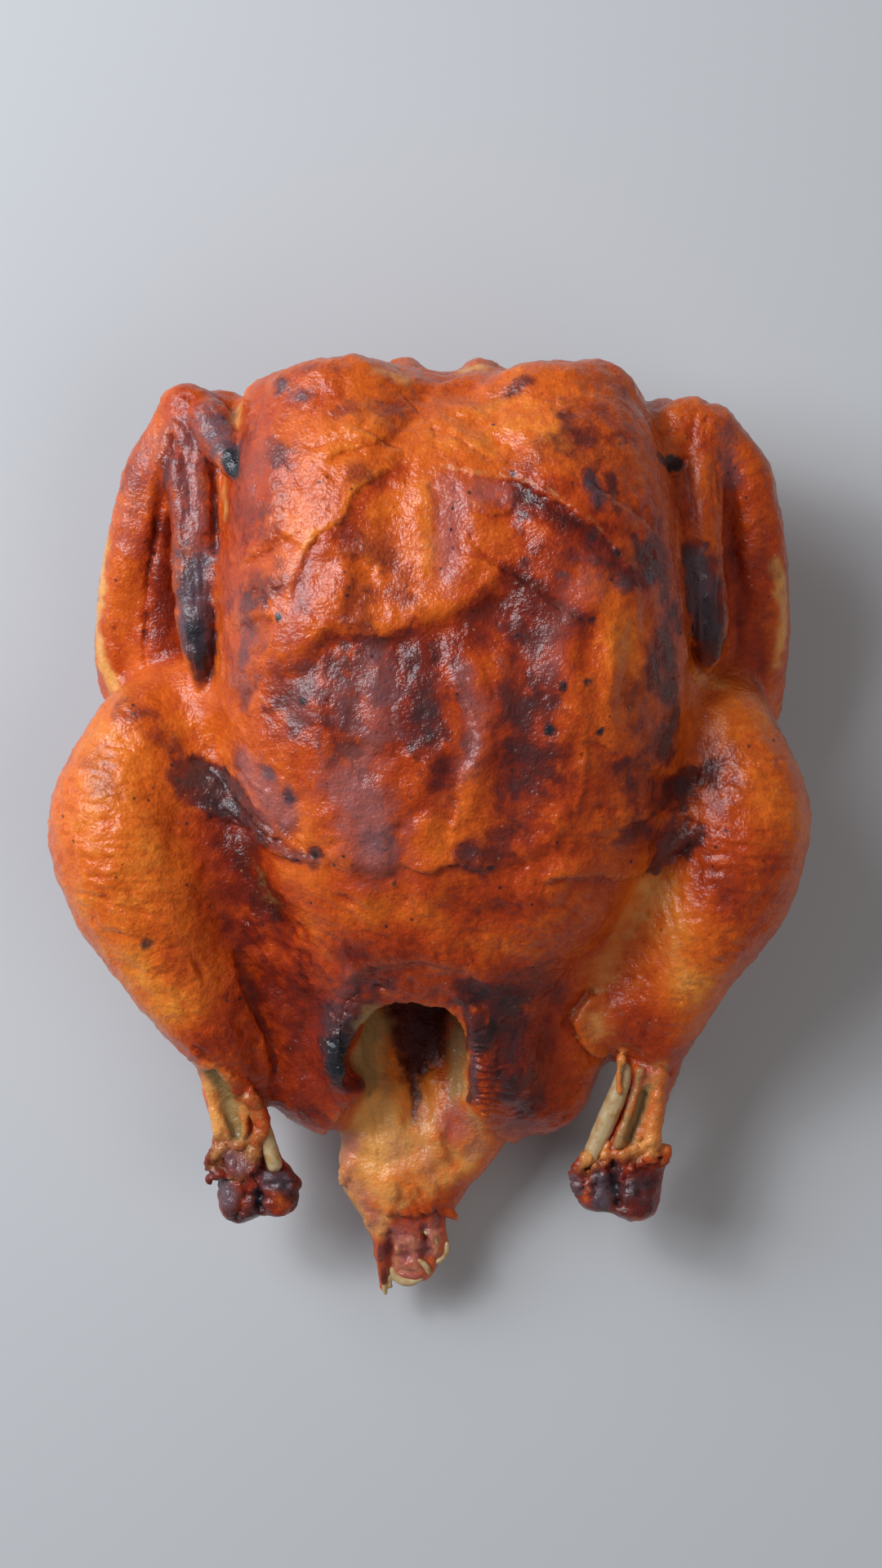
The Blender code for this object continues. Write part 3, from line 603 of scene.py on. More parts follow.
# Wrinkles: (height, width, length, direction across them, core and fade of their stroke, places).
WRINKLES = [
    (0.75, 1.7, 12, (0.55, 0.83, 0.3), 5, 4, [(-66, 18), (-58, 13.6), (-50, 8.6), (-41, 2), (-31, -3)]),
    (0.35, 1.8, 9, (0.35, 0.93, 0.2), 6, 5, [(-50, 24), (-43, 22), (-38, 18)]),
    (0.48, 1.9, 9, (0.1, 1, 0.1), 10, 10, [(-84, 22), (-86, 4), (-80, -16)]),
    (0.25, 1.6, 4, (0.6, 0.7, 0.3), 10, 10, [(-74, 26), (-72, 6), (-70, -14)]),
    (0.3, 1.9, 10, (0.15, 1, 0.1), 6, 6, [(-66, 4), (-66, -10), (-66, -24)]),
    (0.35, 2.2, 12, (0.6, 0.8, 0), 7, 6, [(-80, -20), (-72, -32), (-66, -42)]),
    (0.5, 2, 18, (0.93, 0.35, 0.2), 5, 6, [(-60, -36), (-55, -48), (-50, -60)]),
    (0.5, 2.1, 20, (0.95, 0.3, 0.2), 5, 6, [(60, -12), (63, -26), (66, -40)]),
    (0.35, 2.2, 18, (0.93, -0.35, 0.2), 6, 5, [(58, -42), (60, -52), (59, -60)]),
    (0.6, 2.2, 15, (0.15, 0.98, 0.1), 7, 6, [(46, 3), (56, 3), (68, 5)]),
    (0.4, 2, 12, (0, 1, 0.1), 6, 6, [(72, -3), (82, -4), (90, -2)]),
    (0.48, 2, 9, (0.1, 1, 0), 10, 10, [(86, 24), (88, 4), (84, -14)]),
    (0.25, 1.6, 4, (0.6, -0.7, 0.3), 10, 10, [(76, 22), (76, 4), (74, -16)]),
    (0.35, 2.2, 9, (0.3, 0.95, 0), 7, 7, [(74, -16), (80, -24), (76, -34)]),
    (0.5, 1.9, 10, (0.1, 0.9, 0.5), 6, 6, [(-16, 112), (-4, 112), (8, 112)]),
    (0.4, 2, 11, (0.1, 0.95, 0.3), 8, 7, [(-12, 103), (0, 101), (14, 103)]),
    (0.35, 1.9, 9, (0.75, 0.65, 0), 6, 6, [(32, 106), (42, 102), (52, 92)]),
    (0.4, 3, 30, (1, 0.1, 0.3), 8, 6, [(-76, 92), (-80, 70), (-80, 46)]),
    (0.35, 2.2, 12, (0.55, 0.8, 0.3), 6, 5, [(-82, 84), (-84, 66), (-84, 50)]),
    (0.4, 3, 30, (1, 0.1, 0.3), 8, 6, [(82, 92), (87, 70), (87, 46)]),
    (0.35, 2.2, 12, (0.55, -0.8, 0.3), 6, 5, [(84, 92), (89, 70), (88, 48)]),
    (0.7, 1.5, 14, (1, 0.05, 0.2), 5, 3, [(-63, 108), (-62, 90), (-60.5, 66), (-59.5, 46)]),
    (0.7, 1.5, 14, (1, 0.05, 0.2), 5, 3, [(70, 106), (70, 86), (71, 62), (72.5, 48)]),
    (0.5, 1.8, 6, (0.5, 0.8, 0.3), 6, 4, [(-66, 114), (-62, 106), (-56, 108)]),
    (0.4, 1.8, 6, (0.5, -0.8, 0.3), 6, 4, [(72, 112), (66, 106), (62, 101)]),
    (0.45, 1.9, 8, (0.5, 0.85, 0), 9, 8, [(-34, -24), (-20, -20), (0, -22), (20, -20), (34, -18)]),
    (0.35, 1.7, 5, (0.9, 0.3, 0), 9, 8, [(-26, -32), (0, -32), (24, -32)]),
    (0.75, 1.5, 4, (0.3, 0.9, 0.3), 5, 4, [(-14, -38), (-21, -43), (-24, -52), (-24, -62)]),
    (0.45, 1.5, 5, (0.2, 0.95, 0.2), 6, 4, [(8, -40), (15, -43), (16, -56), (17, -72)]),
    (0.3, 1.5, 3, (0.6, 0.7, 0.2), 6, 5, [(22, -46), (24, -60), (22, -74)]),
    (0.4, 2, 14, (0.85, 0.5, 0.2), 9, 6, [(-36, -48), (-32, -62)]),
    (0.4, 2, 16, (0.95, -0.3, 0.2), 9, 6, [(27, -44), (28, -64)]),
    (0.4, 2.6, 18, (0.8, 0.55, 0), 6, 6, [(-50, -4), (-44, -20), (-38, -36)]),
    (0.35, 2.6, 18, (0.8, -0.55, 0), 6, 5, [(52, -10), (48, -22), (44, -36)]),
    (0.35, 1.7, 8, (0.6, 0.8, 0), 7, 7, [(-44, 64), (-46, 50), (-46, 36)]),
    (0.3, 1.8, 8, (0.5, 0.85, 0), 8, 8, [(-30, 80), (-38, 70), (-36, 60)]),
    (0.35, 1.8, 6, (0.2, 0.95, 0), 10, 8, [(-46, 98), (-44, 84), (-47, 70)]),
    (0.3, 1.8, 6, (0.6, 0.75, 0), 10, 8, [(-30, 110), (-14, 92)]),
    (0.3, 1.8, 6, (0.6, -0.75, 0), 10, 8, [(28, 108), (44, 96), (52, 80)]),
    (0.25, 2.4, 12, (0.9, 0.3, 0), 8, 8, [(18, 50), (20, 36), (20, 20), (16, 4)]),
    (0.22, 2, 8, (0.4, 0.9, 0), 8, 8, [(26, 76), (34, 70), (22, 72)]),
    (0.5, 2, 14, (0.95, 0.25, 0), 8, 5, [(-16, -76), (-12, -90), (-8, -102)]),
    (0.55, 1.8, 10, (0.9, 0.3, 0.2), 6, 4, [(6, -70), (6, -84), (0, -100)]),
    (0.6, 1.6, 5, (0.5, 0.8, 0.2), 3, 3, [(-22, -83), (-24, -91), (-21, -99)]),
    (1, 2, 3.4, (0.7, 0.6, 0.2), 5, 4, [(-13, -103), (-6, -110), (0, -106)]),
    (0.9, 1.6, 3, (0.9, 0.3, 0.2), 4, 3, [(-56, -85), (-52, -87), (-48, -89)]),
    (0.9, 2.2, 3.4, (0.4, 0.9, 0.2), 7, 4, [(-52, -96), (-42, -95)]),
    (0.9, 1.6, 3, (0.9, -0.3, 0.2), 4, 3, [(57, -84), (51, -87), (44, -88)]),
    (1.1, 2.2, 3.4, (0.4, 0.9, 0.2), 7, 4, [(43, -93), (54, -95)]),
    (0.7, 1.5, 4, (0.5, 0.8, 0.3), 4, 2, [(-45, -78), (-47, -86), (-47, -92)]),
    (0.8, 1.6, 3, (0.3, 0.9, 0.3), 4, 2, [(-59, -84), (-59, -92)]),
    (0.8, 1.6, 3, (0.3, 0.9, 0.3), 4, 2, [(39, -90), (39, -95)]),
    (0.8, 1.6, 3, (0.3, 0.9, 0.3), 4, 2, [(61, -84), (60, -88)]),
]

# The share of its route over which a run of ribs dies out at each end.
RIB_ENDS = 0.1
# Even ribs that run across a route: (height, spacing, core, fade, places).
RIBS = [
    (0.52, 1.9, 3.4, 2.4, [(11, -48), (14.6, -57), (15, -66), (15.4, -74)]),
    (0.2, 1.7, 3, 2.4, [(-21, -44), (-25, -52), (-25, -60)]),
    (0.22, 1.9, 5, 5, [(76, -22), (70, -32), (67, -44)]),
    (0.16, 2.1, 6, 6, [(-78, -26), (-70, -36), (-62, -46)]),
]


def wrinkle(places, ground):
    """How far the wrinkles and ribs lift each place."""
    lift = np.zeros(len(places))
    for i, (height, width, length, across, core, fade, points) in enumerate(WRINKLES):
        near = Near(places, ground.route(points), core + fade)
        share = eased(core + fade, core * 0.4, near.distance)
        rolls = grain(places[near.which], across, width, length, 61 + i)
        lift[near.which] += height * share * (0.5 * rolls + 0.5 * creased(rolls * 1.3))
    uneven = noise(places, 6.0, 28)
    for height, spacing, core, fade, points in RIBS:
        near = Near(places, ground.route(points), core + fade)
        share = eased(core + fade, core * 0.6, near.distance) * near.tapered(RIB_ENDS)
        here = uneven[near.which]
        turn = 2 * math.pi * (near.along / spacing + 1.1 * here)
        lift[near.which] += height * share * (1 - np.abs(np.sin(turn / 2)) * 2) * (0.7 + 0.6 * here)
    return lift


# ---------------------------------------------------------------- the relief of the whole skin


def broad_relief(places):
    """The uneven drape of skin over flesh."""
    upper = eased(40, 75, places[:, 2])
    breast = upper * eased(56, 44, np.abs(places[:, 0] - 4)) * eased(-30, -12, places[:, 1])
    lower = breast * eased(60, 45, places[:, 1])
    hang = grain(places, (1, 0.12, 0), 10.0, 30.0, 31) * 1.2
    drape = creased(noise(places * (1, 1, 0.6), 15.0, 32)) * 0.5
    swell = noise(places, 21.0, 33) * 0.9 + noise(places, 9.0, 34) * 0.4
    sides = eased(60, 35, places[:, 2]) * grain(places, (0.2, 0.2, 1), 5.0, 22.0, 35) * 0.4
    neck = eased(92, 112, places[:, 1]) * eased(84, 64, places[:, 2])
    pleats = creased(grain(places, (0.35, 0.1, 1), 6.5, 30.0, 36)) * 0.9
    pleats = pleats + noise(places, 10.0, 37) * 0.6 - 0.5
    return lower * hang + breast * drape + swell + sides + neck * pleats


def fine_relief(places):
    """Small puckers and grain."""
    pucker = noise(places, 5.0, 41) * 0.22 + creased(noise(places, 3.2, 42)) * 0.24
    lumps = pucker + creased(noise(places, 6.5, 44)) * 0.26
    # The bare flesh of the tail and the flat of the wings are smoother than the skin.
    flesh = eased(-66, -76, places[:, 1]) * eased(34, 26, np.abs(places[:, 0] + 6))
    wings = eased(66, 72, np.abs(places[:, 0] - 2)) * eased(36, 42, places[:, 1])
    return lumps * (1 - 0.65 * flesh - 0.45 * wings) + noise(places, 1.8, 43) * 0.18


# ---------------------------------------------------------------- browning, char and fat

# The masks whose strokes fade out gently.
SOFT_MASKS = ("roast", "fat", "rosy_sheen", "meat_and_shade")

# How far the skin is roasted where no stroke says otherwise.
ROASTED = 0.50

# (strength, core, fade, places) of each stroke. Strokes of roast add up, and those of each other mask
# build up towards 1.
ROAST_STROKES = [
    # Where the tears lay the under skin bare, darker with painted shade, painted shade on the folds'
    # undersides and beside the left tear's lip, and a lighter line along that lip: paler thin skin with a
    # painted highlight.
    (0.16, 1.3, 1, [(21.8, 87.2), (25.4, 84.8), (31.3, 81.2), (36.6, 78.2), (41.4, 75.6)]),
    (0.26, 1.2, 1.2, [(41.4, 76), (46, 71.6), (49, 66.6), (53.6, 63.6)]),
    (0.3, 0.9, 2.2, [(19, 66.4), (26, 62.4), (32, 57.8), (38, 55)]),
    (0.26, 2.2, 3, [(11, 57), (19, 59.4), (25, 59.4), (31, 54.4)]),
    (0.26, 1.2, 2.6, [(4, 21), (2, 15), (-1.6, 9.6)]),
    # A lighter line along the left tear's lip, partly a painted highlight, and painted shade beside it.
    (-0.18, 0.5, 1, [(-35.6, 58), (-34.6, 65), (-31.4, 72), (-27.4, 77), (-21.6, 79.4), (-20, 86),
     (-14, 91)]),
    (0.2, 1, 2.6, [(-32, 58), (-31, 66), (-27, 73), (-21, 77.6), (-18, 82.6), (-13, 88), (-7, 92)]),
    (0.16, 1, 2.4, [(-8.6, 22), (-8.4, 32), (-8.4, 46)]),
    # The breast: lighter crown, darker belly, amber flank.
    (0.13, 22, 20, [(-18, 30), (4, 26), (24, 26)]),
    (0.08, 16, 16, [(-10, -22), (6, -24), (22, -20)]),
    (-0.12, 5, 8, [(-27, 101), (-20, 100)]),
    (-0.2, 5, 7, [(24, 108), (28, 106)]),
    (-0.12, 6, 8, [(14, 101), (4, 104)]),
    (0.1, 8, 8, [(-46, 96), (-44, 84)]),
    (-0.1, 4, 5, [(-36, 84), (-34, 76)]),
    (-0.06, 8, 8, [(-10, 84), (-14, 62)]),
    # A paler strip over the wishbone's point, partly a painted highlight.
    (-0.16, 1.2, 3, [(-1.6, 88), (-0.6, 78), (-0.4, 66)]),
    (0.06, 5, 6, [(4, 70), (4, 84)]),
    (-0.12, 4, 5, [(-14, 54), (0, 58), (14, 62)]),
    (-0.13, 6, 6, [(45, 47), (46, 32)]),
    (-0.14, 5, 5, [(46, 61), (49, 53)]),
    (-0.14, 4, 6, [(-31, 6), (-30, -6)]),
    (-0.12, 3, 5, [(-3, 14), (1, 8), (2, -2)]),
    (-0.1, 4, 5, [(10, 16), (12, 2)]),
    (0.06, 8, 10, [(46, 92), (56, 78), (58, 60)]),
    (0.04, 8, 8, [(26, 80), (40, 66)]),
    # Painted shade under the right tear, below the long fold across the breast and right of the step at
    # the breast's middle.
    (0.3, 3, 5, [(22, 86), (32, 81), (42, 76)]),
    (0.18, 5, 6, [(18, 57), (28, 58), (36, 54)]),
    (0.22, 4, 6, [(-4, 50), (2, 50), (10, 54)]),
    (0.12, 3, 4, [(-6, 44), (-5, 30)]),
    (0.1, 6, 6, [(-50, 84), (-51, 66)]),
    (-0.16, 2.4, 4, [(-20, -20), (-8, -18), (2, -20)]),
    (-0.14, 2, 4, [(14, -26), (26, -30)]),
    (0.16, 2, 4, [(-22, -30), (-6, -28)]),
    (0.14, 2, 4, [(6, -16), (20, -18)]),
    (-0.14, 2, 4, [(-30, -22), (-26, -30)]),
    # Hips and vent.
    (0.34, 12, 10, [(-32, -52), (-28, -68)]),
    (0.22, 13, 10, [(28, -50), (28, -68)]),
    (0.12, 6, 8, [(-26, -34), (0, -38), (26, -36)]),
    (0.2, 6, 8, [(-38, -28), (-42, -40)]),
    (0.05, 8, 8, [(-33, 112), (-28, 106)]),
    # Painted shade in the hollow between the left thigh and the breast.
    (0.42, 7, 7, [(-47, 0), (-45, -8), (-43, -15)]),
    # Legs.
    (-0.16, 22, 14, [(-80, 24), (-84, 4), (-76, -20)]),
    (0.08, 5, 6, [(-71, 36), (-62, 34)]),
    (-0.24, 5, 6, [(-74, -36), (-66, -46)]),
    (0.12, 5, 6, [(-76, -22), (-68, -32)]),
    (0.2, 5, 6, [(-62, -50), (-56, -60)]),
    (0.14, 5, 6, [(-58, 2), (-56, -18), (-52, -32)]),
    (-0.12, 16, 12, [(84, 30), (86, 14)]),
    (0.06, 8, 8, [(78, -14), (82, -24)]),
    (0.16, 10, 8, [(76, 5), (80, -8)]),
    (-0.22, 4, 5, [(60, -12), (64, -24), (66, -38)]),
    (-0.16, 4, 4, [(70, -36), (68, -48)]),
    (0.22, 6, 5, [(60, -50), (58, -60)]),
    # Wings.
    (0.12, 7, 6, [(-62, 108), (-62, 84)]),
    (0.04, 7, 6, [(70, 106), (70, 84)]),
    (0.1, 8, 6, [(86, 90), (86, 50)]),
    # Darker red skin with painted shade in the gaps between the wings' bones.
    (0.34, 3, 4, [(-71, 80), (-71, 66), (-70, 50)]),
    (0.16, 2.6, 3.4, [(77.4, 86), (79.4, 70), (81, 48)]),
    # Shanks, knuckles and tail.
    (0.42, 9, 4, [(-54, -86), (-50, -94), (-44, -96)]),
    (0.46, 9, 4, [(42, -90), (46, -94), (56, -92)]),
    (0.16, 3, 3, [(-48, -70), (-46, -78), (-47, -86)]),
    (0.24, 3, 3, [(-59, -84), (-59, -92)]),
    (-0.12, 4, 4, [(-59, -62), (-58, -74)]),
    (-0.56, 2.6, 1.6, [(-41, -95), (-40, -98)]),
    (-0.3, 2.6, 2, [(-50.6, -99), (-52, -96)]),
    (-0.54, 1.4, 1.4, [(42.4, -91), (42, -97)]),
    (-0.5, 1.8, 1.6, [(50, -101.6), (54, -102.6)]),
    (-0.22, 13, 7, [(-9, -70), (-9, -84), (-9, -94)]),
    (-0.1, 2, 3, [(-14, -90), (-12, -98)]),
    (0.14, 1.2, 2.4, [(-16, -74), (-18, -82), (-15, -90)]),
    (0.12, 1.2, 2.4, [(-4, -82), (-5, -92), (-8, -98)]),
    (-0.22, 3, 4, [(12, -78), (10, -90)]),
    (-0.22, 3, 4, [(-24, -86), (-22, -98), (-15, -108)]),
    (0.24, 5, 6, [(8, -90), (5, -97), (-2, -102)]),
    (0.1, 3, 4, [(-12, -98), (-11, -104)]),
    (0.16, 3, 4, [(6, -74), (3, -84)]),
    (0.12, 5, 4, [(-10, -104), (-6, -110), (0, -106)]),
]
CHAR_STROKES = [
    # The neck end's spots.
    (0.62, 1, 2.6, [(-37.5, 115.5)]),
    (0.64, 1, 2.4, [(-32, 112.5)]),
    (0.4, 1, 3, [(-34, 119), (-24, 119)]),
    (0.55, 1, 3, [(-22.5, 107.5)]),
    (0.4, 2, 4, [(-17, 108), (-8, 108)]),
    (0.55, 1.8, 4.5, [(-41, 98), (-35, 97)]),
    (0.36, 2, 4, [(-18, 92), (-14, 91)]),
    (0.34, 2, 4.5, [(-39, 88), (-40, 78)]),
    (0.34, 3, 5, [(-47, 104), (-48, 92), (-46, 80)]),
    (0.5, 1, 3.5, [(25, 116), (22, 115)]),
    (0.36, 2, 4, [(17, 113)]),
    (0.45, 1.2, 4, [(35, 104), (44, 100)]),
    (0.36, 1.5, 4, [(32, 109), (44, 107), (50, 102)]),
    (0.52, 1.2, 3, [(48, 114)]),
    (0.36, 2, 4, [(51, 108)]),
    (0.32, 3, 5, [(27, 98), (24, 94)]),
    # The shoulder on the right.
    (0.66, 1.2, 2, [(39.9, 90.5)]),
    (0.5, 2, 3.4, [(41, 89), (44, 85)]),
    (0.72, 0.9, 1.8, [(45.2, 91), (45.9, 88)]),
    (0.6, 0.7, 1.8, [(41.4, 87), (42.2, 83)]),
    (0.72, 1, 1.6, [(46.5, 81.8)]),
    (0.4, 2, 4, [(36, 99), (40, 95)]),
    (0.74, 1.2, 1.6, [(40.6, 76.3)]),
    (0.92, 1, 1.2, [(50.6, 75.4), (53, 71)]),
    (0.92, 0.8, 1, [(46.4, 72)]),
    (0.7, 1.5, 1.4, [(54.9, 66.3)]),
    (0.56, 1.8, 2.4, [(47.6, 63.9)]),
    (0.5, 2.2, 4, [(45, 72), (51, 66), (55, 72)]),
    (0.74, 1, 1.4, [(23.2, 80.8)]),
    (0.62, 0.6, 1.2, [(26, 80.7)]),
    (0.42, 1, 2, [(22.4, 77)]),
    (0.66, 1.2, 1.8, [(23.2, 69.7)]),
    (0.6, 1.5, 2.2, [(33.3, 70.5)]),
    (0.5, 1, 1.8, [(32.9, 65.6)]),
    (0.56, 0.6, 1, [(26.4, 72)]),
    (0.5, 1, 2, [(56.9, 81)]),
    (0.9, 0.8, 0.9, [(39.8, 54.4)]),
    (0.34, 3, 5, [(30, 70), (38, 68)]),
    # The breast on the left.
    (0.45, 2.4, 4.5, [(-45, 64), (-38, 65)]),
    (0.52, 2, 3.8, [(-43, 61)]),
    (0.5, 2, 4, [(-51, 60)]),
    (0.46, 2.8, 5, [(-46, 57), (-44, 52), (-48, 44), (-47, 38)]),
    (0.36, 3, 6, [(-20, 76), (-14, 72), (-9, 66), (-7, 61)]),
    (0.5, 2, 4.5, [(-19, 60), (-18, 54), (-15, 49)]),
    (0.36, 4, 6, [(-37, 40), (-37, 30)]),
    (0.56, 2.6, 5.5, [(-35, 35), (-31, 31)]),
    (0.6, 3.4, 6, [(-22, 41), (-22, 33), (-21, 27)]),
    (0.4, 3, 5, [(-30, 43), (-24, 46)]),
    (0.4, 4, 5, [(-14, 44), (-13, 34), (-14, 24)]),
    (0.42, 3.5, 5.5, [(-24, 18), (-18, 14), (-14, 8), (-13, -2), (-14, -6)]),
    (0.55, 1.4, 3, [(-9, -2)]),
    (0.84, 2.2, 1.4, [(-35.2, 10.8)]),
    (0.6, 1.5, 1.6, [(-40.2, 16.8)]),
    (0.7, 0.8, 1, [(-13, -4)]),
    # The middle of the breast.
    (0.58, 3, 5, [(-4, 47), (-2, 42)]),
    (0.84, 2.6, 3, [(-1.2, 35), (-0.8, 28.6)]),
    (0.5, 3, 5, [(-1.5, 38), (0, 24)]),
    (0.84, 0.9, 1.6, [(-4.4, 23.2)]),
    (0.48, 3, 4.5, [(2, 18), (4, 10)]),
    (0.56, 1.4, 2.4, [(6, 44), (9.6, 36), (11, 28), (9.6, 20)]),
    # The breast on the right.
    (0.4, 3, 6, [(15, 54), (24, 56), (30, 57)]),
    (0.5, 3, 6, [(22, 50), (22, 40), (21, 30)]),
    (0.42, 2, 4.5, [(28, 50), (29, 38), (28, 30)]),
    (0.54, 3, 5.5, [(24, 34), (22, 26)]),
    (0.6, 2.6, 5.5, [(19, 17), (26, 19)]),
    (0.5, 3.6, 6.5, [(24, 10), (20, 2), (14, -3)]),
    (0.56, 1.8, 4, [(27, 16)]),
    (0.5, 1.8, 4, [(13, -6), (8, -5)]),
    (0.42, 2, 4.5, [(31, 25), (34, 15)]),
    (0.6, 3, 5, [(62, 56), (58, 48), (56, 42)]),
    (0.8, 3.2, 4.4, [(61, 42), (62, 34), (61, 25)]),
    (0.52, 3, 5, [(60, 66), (57, 72)]),
    (0.4, 3, 5, [(50, 36), (54, 28), (58, 22)]),
    # The thighs.
    (1, 4.8, 2.6, [(-61, 15), (-56, 12), (-51, 8.6)]),
    (0.8, 3.8, 3.4, [(-63, 17), (-58, 14), (-51, 10), (-44, 4)]),
    (0.7, 2.6, 2.6, [(-53, 13), (-47, 9.6)]),
    (0.3, 2, 4, [(-66, 21), (-61, 19)]),
    (0.76, 2.6, 2.4, [(-51, 14), (-46, 8), (-42, 3)]),
    (0.6, 1.6, 2.4, [(-44, 2), (-38, -2), (-30, -5)]),
    (0.56, 4.4, 4, [(-47, 18), (-42, 13), (-37, 6)]),
    (0.85, 1, 1.2, [(-28.4, -3)]),
    (0.7, 1.2, 1.2, [(-62, 19.6), (-56, 17), (-52, 14)]),
    (0.36, 2.2, 4, [(-79, 34), (-74, 33)]),
    (0.34, 3, 5, [(-86, 20), (-84, 14)]),
    (0.36, 2, 4, [(-70, 27), (-66, 24)]),
    (0.76, 2.2, 3.5, [(62, 14), (68, 16), (71, 17)]),
    (0.58, 2.6, 5, [(48, 17), (56, 13), (62, 10)]),
    (0.58, 2, 4.4, [(50, 2), (58, 1), (66, 2)]),
    (0.74, 1.8, 3, [(55, -7), (62, -4), (68, 0)]),
    (0.34, 4, 6, [(74, 24), (76, 14)]),
    (0.42, 2, 4, [(76, -13), (79, -16)]),
    # The vent's edge and the hips.
    (0.7, 4, 5, [(-13, -38), (-18, -39), (-22, -43), (-28, -52)]),
    (0.5, 2, 3, [(-15, -42), (-18, -45)]),
    (0.34, 3, 4, [(-32, -62), (-33, -70)]),
    (1, 4.4, 2.6, [(-23.6, -50), (-24.4, -56), (-24, -62)]),
    (1, 2.6, 1.6, [(-19.6, -47), (-21, -52), (-21.6, -57), (-21.2, -62)]),
    (0.7, 1.4, 1.6, [(-23, -64), (-20.6, -65.8)]),
    (0.96, 3.4, 3.4, [(8, -41), (14, -40.5), (20, -44)]),
    (0.9, 2.6, 2.4, [(11, -48), (13, -53), (16, -50)]),
    (0.7, 1, 1.2, [(11, -55), (11.2, -62), (11.4, -70)]),
    (0.9, 1.2, 0.8, [(9.2, -46), (9.8, -53), (10.2, -62), (10.4, -70)]),
    (0.9, 1.6, 1.4, [(-19.6, -60), (-18.4, -65), (-16.6, -67)]),
    (0.7, 1.6, 3, [(20.8, -48), (21, -58), (20.6, -68)]),
    (0.4, 3, 3, [(15, -54), (15.6, -68)]),
    (0.5, 2.6, 3.4, [(20, -40), (28, -39), (34, -42)]),
    (0.42, 3, 5, [(25, -50), (26, -60), (25, -70)]),
    (0.4, 2.6, 4, [(27, -66), (25, -76)]),
    (0.5, 2, 4, [(-36, -72), (-30, -76)]),
    # Wings.
    (0.92, 4.6, 2.6, [(-61, 67), (-60.5, 58), (-60, 52)]),
    (0.92, 3.4, 1.4, [(-60, 52), (-59.3, 43)]),
    (0.96, 3.2, 2, [(67, 73), (68.2, 66), (70.6, 58), (71.6, 52), (71.9, 48)]),
    (0.7, 3, 2.4, [(74, 60), (73.6, 52)]),
    (0.45, 2, 2.6, [(74, 72), (75, 64)]),
    (0.4, 3, 4, [(-66, 100), (-67, 86), (-66, 76)]),
    (0.45, 0.9, 1.6, [(-67, 102), (-69, 92)]),
    (0.6, 2.4, 3.4, [(-55, 107), (-52.6, 101)]),
    (0.3, 2, 3, [(66, 96), (66, 84)]),
    (0.3, 2, 3, [(76, 102), (77, 92)]),
    (0.36, 2, 4, [(-76, 104), (-79, 92)]),
    (0.34, 3, 5, [(86, 80), (88, 56), (86, 40)]),
    # Knuckles.
    (0.8, 1.2, 1.8, [(-46.8, -90.6), (-46.2, -95), (-45.4, -100)]),
    (0.42, 8, 4, [(-54, -96), (-46, -98), (-38, -95)]),
    (0.42, 8, 4, [(43, -95), (50, -98), (57, -95)]),
    (0.7, 1.2, 1.8, [(-44, -91.4), (-40, -91.6), (-36.6, -93.6), (-35.6, -98)]),
    (0.7, 2, 2.4, [(-52, -103), (-47, -102)]),
    (0.6, 2, 2.4, [(-56, -93), (-55, -98)]),
    (0.66, 2.2, 2.2, [(-44, -90), (-39, -91), (-36, -95)]),
    (0.5, 1.4, 2, [(-54, -86), (-52, -89)]),
    (0.6, 2.4, 2.4, [(46, -100), (52, -102)]),
    (0.5, 2, 2.4, [(44, -96), (47, -92)]),
    (0.85, 3, 2.6, [(54.6, -94), (56, -98)]),
    (0.8, 1, 2, [(49.4, -88), (48.6, -92), (49.6, -96)]),
    (0.7, 1.2, 1.8, [(45, -91), (45, -96)]),
    (0.6, 1, 1.4, [(38, -92), (39, -95.6)]),
    # The tail's stumps, and the quill beside them.
    (0.6, 0.9, 1.4, [(-11, -108), (-11.4, -113)]),
    (0.66, 0.9, 1.4, [(-2, -107), (-1, -111), (-3, -114)]),
    (0.34, 5, 3, [(-7, -110), (-6.6, -118)]),
    (0.34, 3, 2.4, [(0, -108), (1.6, -113)]),
    (0.7, 0.8, 1.2, [(-6.4, -114.4)]),
    (0.6, 0.6, 1, [(0, -113)]),
    (0.5, 1.2, 1.4, [(-13.6, -110), (-13.4, -116), (-13, -121)]),
]
